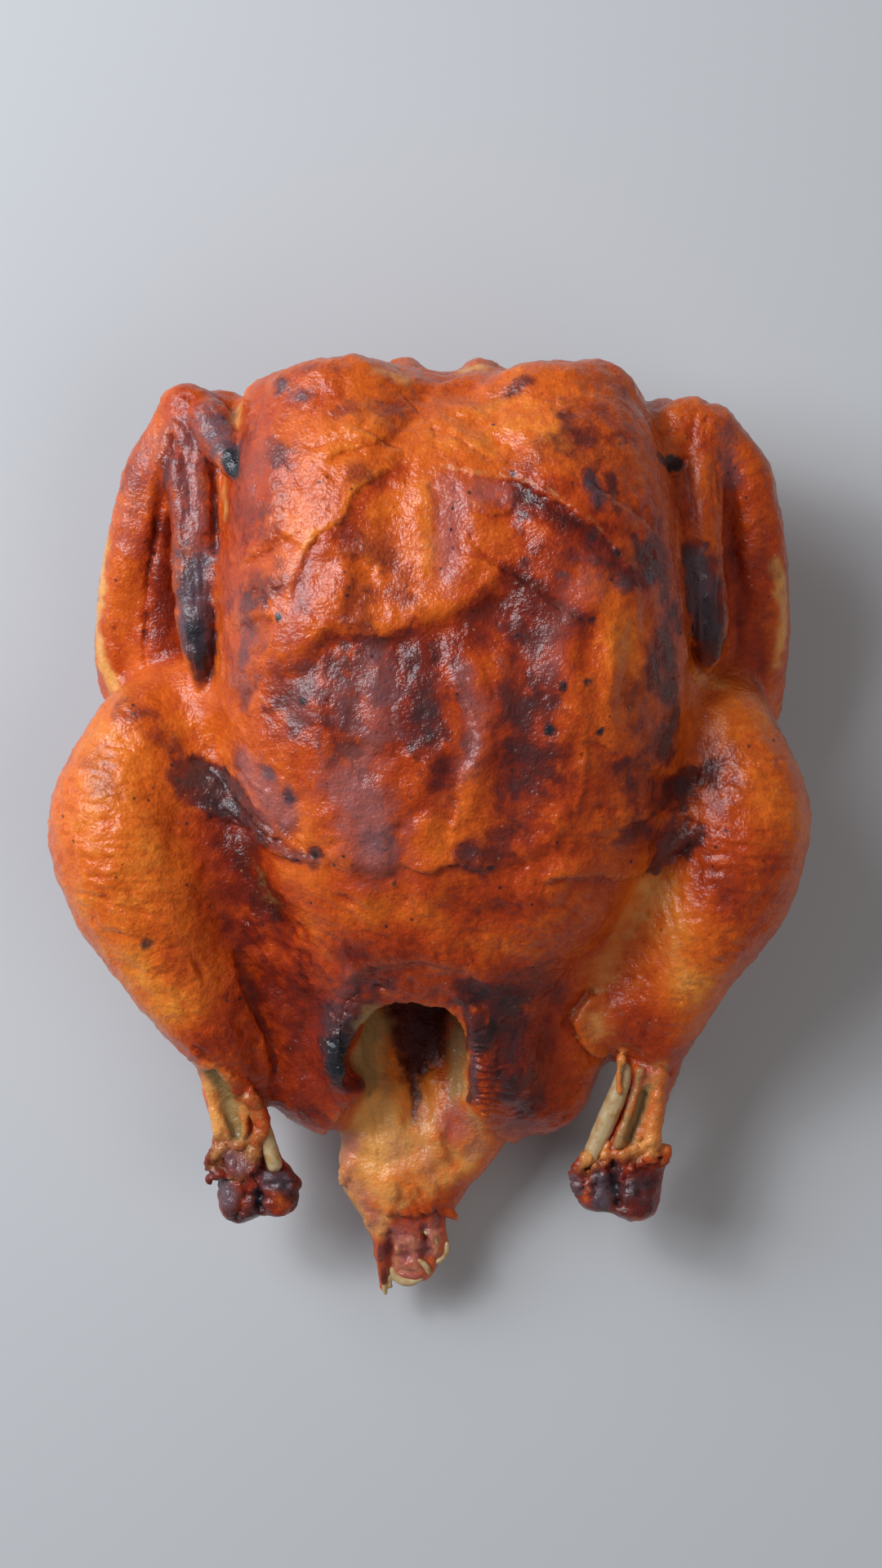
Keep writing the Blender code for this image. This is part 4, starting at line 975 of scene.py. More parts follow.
ASH_AND_SHEEN_STROKES = [
    # Wings.
    (0.7, 3.6, 3, [(-61.4, 70), (-61, 58), (-60.4, 50)]),
    (0.4, 5, 5, [(-61.6, 104), (-61.8, 88), (-61, 76)]),
    (0.25, 3, 4, [(-70, 106), (-73, 98), (-76, 88)]),
    (0.5, 4, 3, [(-56, 110), (-54, 104), (-52, 99)]),
    (0.66, 3, 2.4, [(68, 72), (69.6, 62), (71.6, 54)]),
    (0.4, 3, 4, [(77, 104), (78, 94)]),
    # The vent's rim, where the lilac band on its upper left is a painted sheen.
    (0.3, 2.6, 3, [(-16, -38), (-22, -41), (-28, -49)]),
    (0.4, 0.9, 1.2, [(11.2, -54), (11.4, -62), (11.6, -70)]),
    # Knuckles.
    (0.7, 2.2, 2.4, [(-55.4, -93), (-54.6, -97)]),
    (0.5, 2, 2, [(-53, -86), (-51, -88)]),
    (0.7, 2, 2, [(-43.6, -92), (-40, -92.6)]),
    (0.22, 3.4, 2.4, [(54, -92), (55, -98)]),
    (0.7, 2, 2, [(45.4, -92), (46, -97)]),
    (0.7, 1, 1.6, [(38.2, -91.6), (39.4, -95)]),
    # Scattered on the breast: grey char, and a painted lilac sheen on the facets.
    (0.4, 2, 3, [(-37.5, 115.5), (-32, 112.5)]),
    (0.5, 1.6, 2, [(40, 90), (42, 85)]),
    (0.7, 1.6, 1.2, [(54.9, 66.3)]),
    (0.5, 1.8, 1.8, [(47.6, 63.9)]),
    (0.5, 1, 1.4, [(32.9, 65.6)]),
    (0.5, 1.4, 1.8, [(-40.2, 16.8)]),
    (0.5, 2.6, 3, [(-12.6, 44), (-12.2, 36)]),
    (0.4, 2, 3, [(-13, 0)]),
    (0.6, 1.8, 2, [(-35.5, 11)]),
    (0.24, 3, 5, [(-22, 40), (-21, 30)]),
    (0.3, 3, 5, [(-18, 12), (-15, 0)]),
    (0.3, 3, 4, [(-48, 42), (-46, 54)]),
]
SOOT_STROKES = [
    # The tips and thumbs of the wings.
    (0.9, 2.6, 1.8, [(-51, 97), (-50, 94)]),
    (0.9, 1.6, 1.4, [(64, 96.8), (61, 96.6), (58.6, 97)]),
    (0.62, 2.4, 2.6, [(-60, 54), (-59.7, 46)]),
    (0.5, 2.4, 2.6, [(71.8, 60), (72.2, 51)]),
    # Small burnt spots.
    (0.8, 0.8, 1, [(-11.5, 66.5)]),
    (0.8, 0.9, 1.2, [(-37.5, 55.3)]),
    (0.7, 0.8, 1.2, [(20.5, 91.5)]),
    (0.7, 0.7, 1, [(46.5, 71.8)]),
    (0.7, 1, 1.4, [(33, 38.5)]),
    (0.7, 1, 1.4, [(39, 39.5)]),
    (0.7, 0.8, 1.2, [(42.5, 27)]),
    (0.8, 1.3, 1.4, [(29.5, 27.5)]),
    (0.7, 0.8, 1.2, [(-31.5, 34.5)]),
    (0.7, 0.8, 1.2, [(-29, -4)]),
    (0.6, 1.6, 1.6, [(-35.5, 11)]),
    (0.7, 0.8, 1.2, [(15, -7)]),
    (0.7, 0.8, 1.2, [(40.5, 54.8)]),
    (0.6, 0.7, 1, [(-9, -11)]),
    (0.6, 0.7, 1, [(-4, -15.5)]),
    (0.6, 1.6, 1.6, [(62.5, 34), (61, 26)]),
    (0.6, 1.2, 1.6, [(-73, -27)]),
    # The left thigh's band, the vent's rolls and the knuckles.
    (0.36, 2.6, 2.6, [(-60, 15), (-54, 10)]),
    (0.75, 3, 1.8, [(-24, -54), (-24.6, -61)]),
    (0.46, 2.4, 3.4, [(9, -42.4), (14, -42.4), (17, -46), (14, -52)]),
    (0.7, 1, 1.2, [(-46.6, -92), (-46, -98)]),
    (0.6, 0.9, 1.4, [(49, -91), (49.4, -95)]),
]
FAT_STROKES = [
    # The breast, wings, thighs and hips.
    # The paler strip over the wishbone's point and the pale lip of the right tear, both partly a painted
    # highlight.
    (0.22, 0.8, 2.4, [(-1.6, 88), (-0.6, 78), (-0.4, 66)]),
    (0.4, 0.3, 0.8, [(3, 93.4), (9, 92), (16, 90.9), (23.8, 89.6), (28, 87.6), (32, 85), (40, 79.6),
     (49.4, 69.4)]),
    (0.55, 2, 3, [(-49.6, 112), (-50, 107)]),
    (0.55, 1.6, 3, [(-52.6, 91), (-52.4, 85)]),
    (0.7, 1.4, 3, [(-85.5, 78), (-88.5, 60), (-88, 50), (-84, 40)]),
    (0.7, 1.2, 2.6, [(91, 72), (93.4, 58), (92, 46)]),
    (0.42, 1, 2.5, [(-14, 119), (-6, 117)]),
    (0.6, 1.5, 2.5, [(8, 121), (13, 122)]),
    (0.3, 3, 5, [(60, -14), (63, -26), (66, -38)]),
    (0.2, 2.4, 4, [(-44, -8), (-41, -16)]),
    (0.35, 3, 5, [(56, -12), (50, -22), (45, -36)]),
    (0.4, 3, 5, [(43, -48), (44, -52)]),
    (0.5, 0.8, 1.4, [(66.6, 54), (69, 47)]),
    (0.4, 2, 3, [(70, 42), (76, 40)]),
    # The vent's walls and the tail.
    (0.8, 3.4, 2.6, [(-15, -51), (-15.6, -56), (-15.4, -62), (-15.4, -70), (-16, -76)]),
    (0.5, 2.4, 2.4, [(7.2, -49), (7.4, -56), (7.2, -62), (7.2, -69)]),
    (0.4, 2, 2.4, [(8.6, -50), (10, -55), (10, -62), (9.6, -69)]),
    (0.46, 3, 4, [(-9, -72), (-10, -80)]),
    (0.4, 2, 3, [(0, -72), (0, -80)]),
    (0.46, 6, 6, [(-18, -82), (-20, -90), (-16, -97)]),
    (0.44, 5, 5, [(-4, -84), (2, -89), (1, -93)]),
    (0.4, 4, 5, [(-14, -84), (-12, -90)]),
    (0.5, 2.4, 2.4, [(12, -76), (14, -82), (10, -88)]),
    (0.5, 2, 2.4, [(-24, -84), (-25, -92), (-22, -99), (-17, -107)]),
    # Shanks, knuckles and the tail's stumps.
    (0.4, 1, 1.4, [(-50.2, -72), (-49.8, -77), (-51, -81)]),
    (0.4, 1.4, 2, [(-59, -66), (-57.6, -78)]),
    (0.55, 1, 1.2, [(-53.4, -91.6), (-50.4, -91)]),
    (0.5, 0.8, 1, [(41.6, -88.4), (44, -90.6)]),
    (0.5, 0.8, 1, [(46.6, -82.6), (46, -85)]),
    (0.6, 1.2, 1.4, [(-13, -104), (-13.4, -109)]),
    (0.6, 0.5, 0.8, [(-10.4, -108), (-9.4, -112), (-8.6, -117)]),
    (0.6, 0.5, 0.8, [(-4.6, -110), (-5, -113), (-4.4, -118)]),
    (0.6, 0.5, 0.8, [(0.8, -106), (2, -110)]),
    (0.8, 0.6, 0.8, [(-9.4, -113), (-8.6, -110.6), (-5.8, -110), (-3.6, -111.6)]),
    (0.8, 0.6, 0.8, [(-1.4, -107.4), (0.6, -109.6), (1.4, -113.4)]),
    (0.7, 0.5, 0.8, [(-10, -116), (-8, -118.4), (-4, -118.2)]),
    (0.36, 4, 4, [(-58, -62), (-57, -72), (-56, -82)]),
    (0.3, 2.4, 3, [(-46, -70), (-45, -80)]),
    (0.36, 4, 4, [(60, -62), (59, -72), (58, -82)]),
    (0.3, 3, 3, [(44, -86), (52, -84), (60, -83)]),
    (0.6, 1.6, 2, [(42.6, -85), (41, -88)]),
    (0.5, 1.2, 2, [(51, -58), (50.2, -64), (50.3, -69)]),
    (0.24, 3, 3, [(-57, -86), (-50, -86), (-47, -84)]),
]
ROSY_SHEEN_STROKES = [
    # Dull, pinkish skin on the torn flap, and a painted lilac sheen over the wishbone's strip and the
    # breast's facets.
    (0.55, 2.4, 3, [(12, 87), (18, 86.6)]),
    (0.62, 3, 3, [(5, 88), (5, 78), (4, 66)]),
    (0.4, 3, 4, [(30, 44), (33, 56), (40, 64)]),
    (0.3, 3, 4, [(-36, 50), (-32, 60), (-30, 70)]),
    (0.5, 3, 4, [(-14, 44), (-13, 34), (-14, 24)]),
    (0.75, 5, 6, [(-20, 14), (-16, 6), (-14, -3)]),
    (0.3, 4, 5, [(-34, 32), (-28, 38), (-22, 36)]),
    (0.8, 4.6, 4, [(-46, 18), (-42, 13), (-38, 8)]),
    (0.5, 0.6, 1, [(-50, 4.4), (-44, 0.6), (-37, -3), (-28, -5)]),
    (0.5, 0.4, 0.8, [(-48, 10.6), (-44, 5.6), (-39, 2)]),
    (0.5, 0.4, 0.8, [(-50, 18), (-46, 14), (-42, 8.6)]),
    (0.3, 4, 5, [(-50, 60), (-46, 52), (-48, 42)]),
    (0.3, 3, 4, [(-44, 88), (-42, 100)]),
    (0.5, 2, 3, [(8, 42), (11.4, 32), (11, 24), (9.6, 18)]),
    (0.3, 2, 3, [(56, 3), (62, 4), (60, -5)]),
    # Wings.
    (0.5, 2, 3, [(-61.6, 100), (-61.4, 86), (-61, 76)]),
    (0.45, 2, 3, [(-56, 110), (-54, 104)]),
    (0.4, 2.4, 3, [(-74, 104), (-78, 92), (-79, 78)]),
    (0.34, 1.6, 2.4, [(68, 96), (68.6, 84)]),
    (0.26, 2, 3, [(76, 104), (78, 94)]),
    # Hips, shanks, knuckles and tail.
    (0.3, 2, 3, [(-20, -35), (-24, -42)]),
    (0.5, 2, 2.6, [(-54, -84), (-51, -87)]),
    (0.6, 2, 2, [(-55, -94), (-53.6, -97)]),
    (0.4, 1.2, 1.6, [(-44, -93), (-42, -92)]),
    (0.6, 1, 1.6, [(38.4, -91), (39.6, -95)]),
    (0.45, 1.6, 2, [(57.6, -62), (54, -66), (52, -72)]),
    (0.62, 2.4, 2.6, [(-21, -82), (-23, -87), (-22, -94)]),
    (0.5, 2, 3, [(4, -77), (10, -80), (14, -84)]),
    (0.5, 2, 2.4, [(-18, -98), (-16, -104)]),
    (0.4, 2.2, 3, [(-9, -82), (-9, -90)]),
    (0.5, 2, 3, [(7, -72), (9, -78)]),
    (0.5, 1.4, 2, [(-26, -90), (-25, -94)]),
    (0.5, 1.4, 2, [(-21.4, -84)]),
    (0.4, 1, 2, [(-2, -84), (0, -92)]),
    (0.4, 1, 2, [(13, -80), (10, -86)]),
    (0.5, 1.6, 2, [(-17, -99), (-15, -105)]),
    (0.75, 4, 3, [(-7, -110), (-6.6, -118)]),
    (0.65, 2.4, 2.4, [(0.6, -107), (1.6, -113)]),
]
BONE_STROKES = [
    # The vent's walls and the flesh over the tail.
    (0.6, 2.6, 2.4, [(-16, -51), (-16.6, -56), (-16, -64)]),
    (0.8, 3.6, 1.8, [(-14.6, -47), (-16.6, -51), (-17.8, -56), (-17.8, -61), (-17, -66)]),
    (0.45, 3, 3, [(-13, -50), (-13, -58), (-12.6, -66)]),
    (0.6, 2.4, 2.2, [(7.2, -49), (7.4, -56), (7.2, -62), (7.2, -69)]),
    (0.2, 3, 4, [(-12, -72), (-9, -80)]),
    # The shanks.
    (0.9, 2, 1.2, [(-57.6, -62.5), (-55, -68), (-53, -74), (-51.8, -79.6)]),
    (0.8, 1.4, 1.2, [(57.6, -67), (55.6, -73), (53, -80)]),
    (0.7, 1.2, 1, [(55.4, -62), (53.4, -69), (51.4, -77), (49.8, -82)]),
]
MEAT_AND_SHADE_STROKES = [
    # The dark inside of the vent, down the groove below it and on its right wall: painted shade in the
    # cavity and the groove, coloured as dark flesh.
    (1, 6, 3, [(-9, -46), (-1, -46.4)]),
    (1, 4.6, 3, [(-7, -52), (-1, -53)]),
    (0.95, 3.4, 3.4, [(-5, -58), (-4, -62)]),
    (0.62, 0.5, 2.2, [(-5, -62), (-4.4, -69), (-4, -75)]),
    (0.4, 0.4, 2, [(-4, -75), (-3.8, -80)]),
    (0.34, 3, 3, [(6, -58), (5, -68)]),
]
STROKES = {
    "roast": ROAST_STROKES,
    "char": CHAR_STROKES,
    "ash_and_sheen": ASH_AND_SHEEN_STROKES,
    "soot": SOOT_STROKES,
    "fat": FAT_STROKES,
    "rosy_sheen": ROSY_SHEEN_STROKES,
    "bone": BONE_STROKES,
    "meat_and_shade": MEAT_AND_SHADE_STROKES,
}


def paint(places, ground):
    """Each mask's strength at each place. Heights are taken before the folds were raised."""
    masks = {name: np.zeros(len(places)) for name in STROKES}
    # The low sides are unevenly roasted.
    masks["roast"] += ROASTED + 0.16 * noise(places, 26.0, 54) * eased(46, 34, places[:, 2])
    ragged = noise(places, 6.0, 51) * 0.5 + noise(places, 2.6, 52) * 0.45
    ragged += noise(places, 1.2, 53) * 0.35
    for name, strokes in STROKES.items():
        fall = 2 if name in SOFT_MASKS else 3
        for strength, core, fade, points in strokes:
            near = Near(places, ground.route(points), 1.5 * core + 2 * fade)
            distance = near.distance + ragged[near.which] * fade
            share = strength * np.exp(-((np.maximum(distance, 0) / (0.9 * core + 0.6 * fade)) ** fall))
            before = masks[name][near.which]
            made = before + share if name == "roast" else 1 - (1 - before) * (1 - share)
            masks[name][near.which] = made
    return masks


# Painted shade: the skin is browned darker in creases and hollows and a little lighter on ridges, by how
# far each place lies below its surroundings.
# How widely a place's surroundings are averaged, and the depth at which it counts as a full hollow.
HOLLOW_ROUNDS = 25
HOLLOW_DEPTH = 0.6


def crease_shade_depths(places, normals, edges):
    """How far each place lies below the mean of its surroundings, as a share of a full hollow."""
    count = np.bincount(edges.ravel(), minlength=len(places)).astype(float)[:, None]
    soft = places.copy()
    for _ in range(HOLLOW_ROUNDS):
        total = np.zeros_like(soft)
        for axis in range(3):
            total[:, axis] = np.bincount(edges[:, 0], soft[edges[:, 1], axis], len(places))
            total[:, axis] += np.bincount(edges[:, 1], soft[edges[:, 0], axis], len(places))
        soft = 0.5 * soft + 0.5 * total / count
    return ((soft - places) * normals).sum(1) / HOLLOW_DEPTH


def keep_mask(mesh, name, values):
    """Keeps a value for each vertex, which the material reads by its name."""
    attribute = mesh.attributes.new(name, "FLOAT", "POINT")
    attribute.data.foreach_set("value", np.clip(values, -1, 2).astype(np.float32))


def thinned(obj, most):
    """Drops the triangles that matter least, down to the most that it may have."""
    obj.data.calc_loop_triangles()
    thin = obj.modifiers.new("Thin", "DECIMATE")
    thin.ratio = most / len(obj.data.loop_triangles)
    thin.use_collapse_triangulate = True
    settle(obj)


# ---------------------------------------------------------------- materials


class Nodes:
    """Adds nodes to one material and wires them."""

    def __init__(self, name):
        self.material = bpy.data.materials.new(name)
        self.material.use_nodes = True
        self.tree = self.material.node_tree
        self.tree.nodes.clear()
        self.places = self.add("ShaderNodeTexCoord").outputs["Object"]

    def add(self, kind, **settings):
        node = self.tree.nodes.new(kind)
        for key, value in settings.items():
            setattr(node, key, value)
        return node

    def put(self, socket, value):
        """Wires a socket into another, or sets its value."""
        if isinstance(value, bpy.types.NodeSocket):
            self.tree.links.new(value, socket)
        else:
            socket.default_value = value

    def math(self, operation, first, second, clamp=False):
        node = self.add("ShaderNodeMath", operation=operation, use_clamp=clamp)
        self.put(node.inputs[0], first)
        self.put(node.inputs[1], second)
        return node.outputs[0]

    def mask(self, name):
        return self.add("ShaderNodeAttribute", attribute_name=name).outputs["Fac"]

    def noise(self, cell, detail=2.0, rough=0.5):
        """Noise from 0 to 1 whose swells are about cell millimetres wide."""
        node = self.add("ShaderNodeTexNoise")
        self.put(node.inputs["Vector"], self.places)
        self.put(node.inputs["Scale"], 1 / (cell * MM))
        self.put(node.inputs["Detail"], detail)
        self.put(node.inputs["Roughness"], rough)
        return node.outputs["Fac"]

    def cells(self, cell):
        """The distance from the nearest of scattered points about cell millimetres apart."""
        node = self.add("ShaderNodeTexVoronoi")
        self.put(node.inputs["Vector"], self.places)
        self.put(node.inputs["Scale"], 1 / (cell * MM))
        return node.outputs["Distance"]

    def spread(self, value, low, high, to_low=0.0, to_high=1.0):
        """Stretches a range of a value to another, clamped and eased."""
        node = self.add("ShaderNodeMapRange", interpolation_type="SMOOTHSTEP")
        self.put(node.inputs["Value"], value)
        self.put(node.inputs["From Min"], low)
        self.put(node.inputs["From Max"], high)
        self.put(node.inputs["To Min"], to_low)
        self.put(node.inputs["To Max"], to_high)
        return node.outputs["Result"]

    def ramp(self, value, stops):
        node = self.add("ShaderNodeValToRGB")
        elements = node.color_ramp.elements
        elements.remove(elements[1])
        for i, (place, colour) in enumerate(stops):
            element = elements[0] if i == 0 else elements.new(place)
            element.position = place
            element.color = (*colour, 1)
        self.put(node.inputs["Fac"], value)
        return node.outputs["Color"]

    def mix(self, share, first, second):
        node = self.add("ShaderNodeMix", data_type="RGBA")
        self.put(node.inputs[0], share)
        for socket, colour in ((node.inputs[6], first), (node.inputs[7], second)):
            self.put(socket, colour if isinstance(colour, bpy.types.NodeSocket) else (*colour, 1))
        return node.outputs[2]

    def bump(self, height, depth, below=None):
        """Relief of a given depth in millimetres, over any relief below it."""
        node = self.add("ShaderNodeBump")
        self.put(node.inputs["Strength"], 1.0)
        self.put(node.inputs["Distance"], depth * MM)
        self.put(node.inputs["Height"], height)
        if below is not None:
            self.put(node.inputs["Normal"], below)
        return node.outputs["Normal"]

    def finish(self, colour, roughness, normal, gloss_normal, **values):
        shader = self.add("ShaderNodeBsdfPrincipled")
        self.put(shader.inputs["Base Color"], colour)
        self.put(shader.inputs["Roughness"], roughness)
        self.put(shader.inputs["Normal"], normal)
        self.put(shader.inputs["Coat Normal"], gloss_normal)
        for name, value in values.items():
            self.put(shader.inputs[name.replace("_", " ")], value)
        output = self.add("ShaderNodeOutputMaterial")
        self.tree.links.new(shader.outputs[0], output.inputs["Surface"])
        return self.material


# The skin from pale fat to nearly black, by how far it is roasted.
BROWNING = [
    (0.0, (0.80, 0.38, 0.070)),
    (0.2, (0.79, 0.230, 0.026)),
    (0.4, (0.68, 0.122, 0.010)),
    (0.6, (0.45, 0.048, 0.005)),
    (0.8, (0.20, 0.015, 0.004)),
    (1.0, (0.055, 0.007, 0.005)),
]
# Char, by how strong it is: reddish haze, maroon, purple brown and near black.
CHARRING = [
    (0.0, (0.40, 0.040, 0.010)),
    (0.35, (0.20, 0.020, 0.011)),
    (0.65, (0.098, 0.016, 0.014)),
    (1.0, (0.038, 0.021, 0.024)),
]
SOOT = (0.017, 0.016, 0.020)
FAT = (0.80, 0.355, 0.090)
# Pinkish mauve: dull pinkish skin, and a painted lilac sheen.
ROSY_SHEEN = (0.44, 0.135, 0.115)
# Grey mauve: ashy char, and a painted lilac sheen over dark skin.
ASH_AND_SHEEN = (0.105, 0.070, 0.085)
DULL_BONE = (0.32, 0.185, 0.068)
PALE_BONE = (0.50, 0.36, 0.19)
TANNED_BONE = (0.44, 0.25, 0.095)
MEAT_AND_SHADE = (0.075, 0.010, 0.006)
FLAKE = (0.66, 0.30, 0.13)
# The painted shade in the skin's finest pores.
SHADE = (0.050, 0.012, 0.004)


def swayed(n, level, *sways):
    """A level moved up and down by noises, each (noise, how far)."""
    for value, far in sways:
        level = n.math("ADD", level, n.math("MULTIPLY", n.math("SUBTRACT", value, 0.5), far))
    return level


def browned(n, blotch, patch, fleck):
    """The colours of roast skin, browned darker in creases as painted shade, of fat, and of the vent's
    dark inside, which is painted shade.
    """
    level = swayed(n, n.mask("roast"), (blotch, 0.42), (patch, 0.20), (fleck, 0.04))
    # Painted shade: darker browning in creases and hollows, lighter browning on ridges.
    level = n.math("ADD", level, n.math("MULTIPLY", n.mask("crease_shade"), 0.09), clamp=True)
    colour = n.ramp(level, BROWNING)
    fat = n.spread(swayed(n, n.mask("fat"), (patch, 0.5), (fleck, 0.2)), 0.1, 0.75)
    colour = n.mix(fat, colour, FAT)
    # Painted shade in the vent's cavity and the groove below it, coloured as dark flesh.
    meat_and_shade = n.spread(swayed(n, n.mask("meat_and_shade"), (patch, 0.3)), 0.2, 0.8)
    return n.mix(meat_and_shade, colour, MEAT_AND_SHADE)


def charred(n, colour, burnt, patch, fleck):
    """Char over a colour, and about it pinkish skin with a painted lilac sheen and grey ash with a
    painted sheen.
    """
    colour = n.mix(n.spread(burnt, 0.0, 0.62, 0.0, 0.92), colour, n.ramp(burnt, CHARRING))
    # Pinkish skin, and a painted lilac sheen on the breast's facets.
    rosy_sheen = n.spread(swayed(n, n.mask("rosy_sheen"), (patch, 0.4), (fleck, 0.3)), 0.0, 0.9, 0.0, 0.75)
    colour = n.mix(rosy_sheen, colour, ROSY_SHEEN)
    # Grey ash, and a painted sheen on the vent's rim and the breast's facets.
    ash_and_sheen = n.spread(swayed(n, n.mask("ash_and_sheen"), (patch, 0.5), (fleck, 0.3)), 0.05, 0.9)
    return n.mix(ash_and_sheen, colour, ASH_AND_SHEEN)


def flecked(n, colour, patch, fleck):
    """Pale flakes over a colour, and the shade in its pores."""
    flakes = n.spread(n.cells(3.1), 0.15, 0.05)
    flakes = n.math("MULTIPLY", flakes, n.spread(patch, 0.50, 0.62, 0.0, 0.45))
    colour = n.mix(flakes, colour, FLAKE)
    return n.mix(n.spread(fleck, 0.36, 0.64, 0.0, 0.12), colour, SHADE)


def blackened(n, colour, blotch, patch, cloud):
    """Small black specks and dots over a colour wherever it isn't bare fat, and soot."""
    skinned = n.spread(n.mask("fat"), 0.1, 0.4, 1.0, 0.0)
    specks = n.math("MULTIPLY", n.spread(n.cells(5), 0.14, 0.06), n.spread(blotch, 0.46, 0.58))
    specks = n.math("MULTIPLY", specks, skinned)
    dots = n.math("MULTIPLY", n.spread(n.cells(2.3), 0.16, 0.06), n.spread(cloud, 0.42, 0.6, 0.0, 0.5))
    dots = n.math("MULTIPLY", dots, skinned)
    soot = n.spread(swayed(n, n.mask("soot"), (patch, 0.4)), 0.25, 0.7)
    black = n.math("MAXIMUM", n.math("MAXIMUM", n.math("MULTIPLY", specks, 0.85), dots), soot)
    return n.mix(black, colour, SOOT)


def skin_relief(n, patch, fleck):
    """The finest relief, of the skin itself and of the glaze over it."""
    grit = n.noise(1.7, 2.0, 0.5)
    relief = n.bump(n.spread(n.cells(1.5), 0.0, 0.45), 0.06)
    relief = n.bump(fleck, 0.16, relief)
    relief = n.bump(grit, 0.30, relief)
    relief = n.bump(patch, 0.30, relief)
    return relief, n.bump(fleck, 0.24, n.bump(grit, 0.29, n.bump(patch, 0.30)))


def skin_material():
    n = Nodes("roast_skin")
    blotch = n.noise(13, 3.0, 0.55)
    patch = n.noise(3.6, 3.0, 0.58)
    cloud = n.noise(5.0, 1.5, 0.45)
    fleck = n.noise(0.9, 3.0, 0.62)
    clouded = n.spread(cloud, 0.3, 0.7, 0.66, 1.22)
    mottle = n.math("MULTIPLY", clouded, n.spread(fleck, 0.3, 0.7, 0.94, 1.06))
    burnt = swayed(n, n.math("MULTIPLY", n.mask("char"), mottle), (patch, 0.10))
    colour = browned(n, blotch, patch, fleck)
    colour = charred(n, colour, burnt, patch, fleck)
    colour = flecked(n, colour, patch, fleck)
    colour = blackened(n, colour, blotch, patch, cloud)
    colour = n.mix(n.spread(swayed(n, n.mask("bone"), (patch, 0.4)), 0.1, 0.8), colour, DULL_BONE)
    roughness = n.spread(swayed(n, burnt, (fleck, 0.5)), 0.0, 0.8, 0.42, 0.52)
    relief, gloss_relief = skin_relief(n, patch, fleck)
    return n.finish(
        colour, roughness, relief, gloss_relief,
        Subsurface_Weight=0.10, Subsurface_Radius=(1.0, 0.35, 0.12), Subsurface_Scale=0.0025,
        Specular_IOR_Level=0.06, Coat_Weight=0.75, Coat_Roughness=0.16,
    )


def bone_material():
    n = Nodes("bone")
    patch = n.noise(3.0, 3.0, 0.55)
    fleck = n.noise(0.8, 3.0, 0.6)
    colour = n.mix(n.spread(patch, 0.42, 0.66), PALE_BONE, TANNED_BONE)
    colour = n.mix(n.spread(fleck, 0.62, 0.76, 0.0, 0.35), colour, MEAT_AND_SHADE)
    relief = n.bump(fleck, 0.08, n.bump(patch, 0.22))
    return n.finish(colour, n.spread(fleck, 0.3, 0.7, 0.36, 0.50), relief, relief, Subsurface_Weight=0.08,
                    Subsurface_Radius=(1.0, 0.5, 0.25), Subsurface_Scale=0.0015)


# ---------------------------------------------------------------- the studio

# In metres: half of the floor's side, and how far it lies below the bird.
FLOOR_HALF = 4.0
FLOOR_DROP = 0.0002
PALE_GREY = (0.50, 0.50, 0.51)
DAYLIGHT = (0.88, 0.94, 1.0)
WARM_LIGHT = (1.0, 0.97, 0.93)
SKY = (0.9, 0.93, 1.0)
SKY_STRENGTH = 0.12
# Above the breast, in millimetres, and the lens.
CAMERA_PLACE = (2.745, 14.10, 848)
CAMERA_LENS = 70


def floor():
    """A wide pale floor."""
    bm = bmesh.new()
    turns = [(-1, -1), (1, -1), (1, 1), (-1, 1)]
    bm.faces.new([bm.verts.new((x * FLOOR_HALF, y * FLOOR_HALF, -FLOOR_DROP)) for x, y in turns])
    mesh = bpy.data.meshes.new("floor")
    bm.to_mesh(mesh)
    bm.free()
    obj = placed("floor", mesh)
    material = bpy.data.materials.new("floor")
    material.use_nodes = True
    shader = material.node_tree.nodes["Principled BSDF"]
    shader.inputs["Base Color"].default_value = (*PALE_GREY, 1)
    shader.inputs["Roughness"].default_value = 0.8
    mesh.materials.append(material)


def lamp(name, place, size, power, colour, mirrored=True):
    """A square light that faces the bird: place and size in metres, power in watts.

    Unless it is mirrored, it shows in no gloss.
    """
    light = bpy.data.lights.new(name, "AREA")
    light.shape = "SQUARE"
    light.size = size
    light.energy = power
    light.color = colour
    obj = placed(name, light)
    obj.location = place
    obj.rotation_euler = (-Vector(place)).to_track_quat("-Z", "Y").to_euler()
    obj.visible_glossy = mirrored


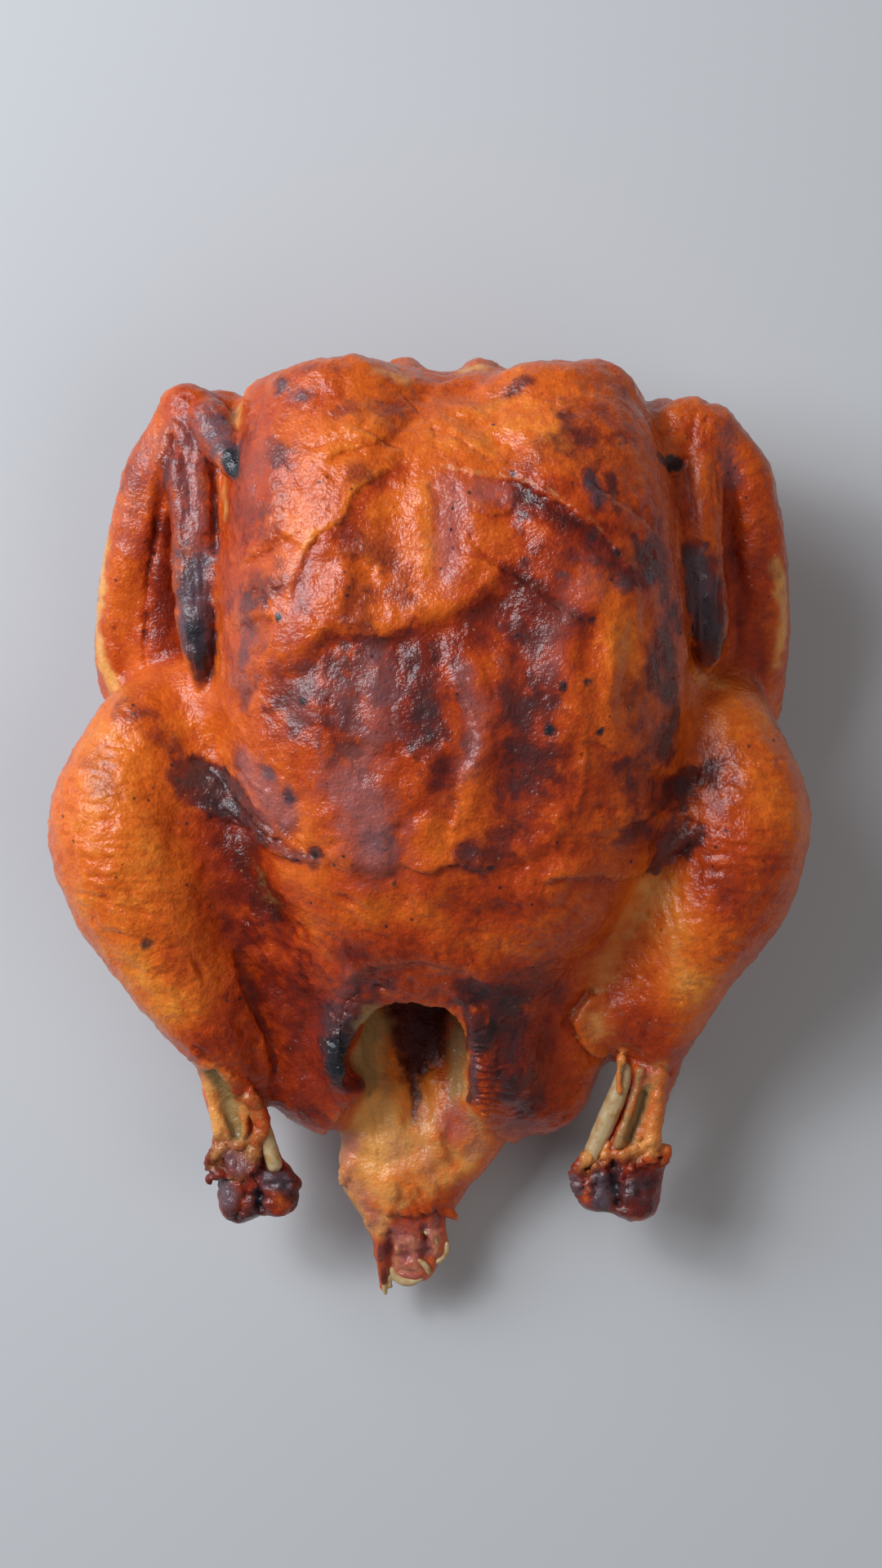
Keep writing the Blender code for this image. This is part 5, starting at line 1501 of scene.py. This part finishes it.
def studio():
    """Soft light from the upper left, a smaller one for the gloss, and a weak one from the right."""
    lamp("key", (-0.76, 0.43, 0.74), 0.8, 15.3, DAYLIGHT)
    lamp("spark", (-0.70, 0.46, 0.84), 0.2, 2.8, DAYLIGHT)
    lamp("fill", (0.7, -0.35, 1.1), 1.0, 4.2, WARM_LIGHT, mirrored=False)
    world = bpy.data.worlds.new("studio")
    world.use_nodes = True
    background = world.node_tree.nodes["Background"]
    background.inputs["Color"].default_value = (*SKY, 1)
    background.inputs["Strength"].default_value = SKY_STRENGTH
    bpy.context.scene.world = world
    bpy.context.scene.view_settings.view_transform = "Standard"


def camera():
    """Straight above the breast, looking down."""
    data = bpy.data.cameras.new("camera")
    data.lens = CAMERA_LENS
    obj = placed("camera", data)
    obj.location = Vector(CAMERA_PLACE) * MM
    bpy.context.scene.camera = obj


# ---------------------------------------------------------------- the bird


def skin():
    """The whole bird but for its bare bones."""
    obj = bird_form()
    mesh = obj.data
    places = read_points(mesh)
    normals = read_normals(mesh)
    heights = places[:, 2].copy()
    ground = Ground(mesh)
    lift, lean = raise_folds(places, ground)
    lift += broad_relief(places) + raise_bumps(places, ground)
    places += normals * lift[:, None] + lean + pushed(places, ground)
    write_points(mesh, places)
    normals = read_normals(mesh)
    laid = np.column_stack((places[:, :2], heights))
    places += normals * (fine_relief(places) + wrinkle(laid, ground))[:, None]
    places[:, 2] = np.maximum(places[:, 2], 0)
    write_points(mesh, places)
    normals = read_normals(mesh)
    masks = paint(np.column_stack((places[:, :2], heights)), ground)
    # Painted shade: how deep each place lies in a crease, which the material browns darker.
    masks["crease_shade"] = crease_shade_depths(places, normals, read_edges(mesh))
    for name, values in masks.items():
        keep_mask(mesh, name, values)
    thinned(obj, MOST_TRIANGLES)
    obj.data.shade_smooth()
    obj.data.materials.append(skin_material())
    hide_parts(BIRD)
    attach(obj, "root")


def bones():
    """The lengths of bone that lie bare at the shanks and in the tail."""
    mesh = bpy.data.meshes.new("bare_bones")
    obj = placed("bare_bones", mesh)
    add_strands(mesh, BONES)
    fused(obj, BONE_VOXEL, BONE_SMOOTHING)
    mesh = obj.data
    places = read_points(mesh)
    lift = noise(places, 4.0, 81) * 0.25 + noise(places, 1.4, 82) * 0.05
    write_points(mesh, places + read_normals(mesh) * lift[:, None])
    mesh.shade_smooth()
    mesh.materials.append(bone_material())
    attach(obj, "root")


skin()
bones()
floor()
studio()
camera()
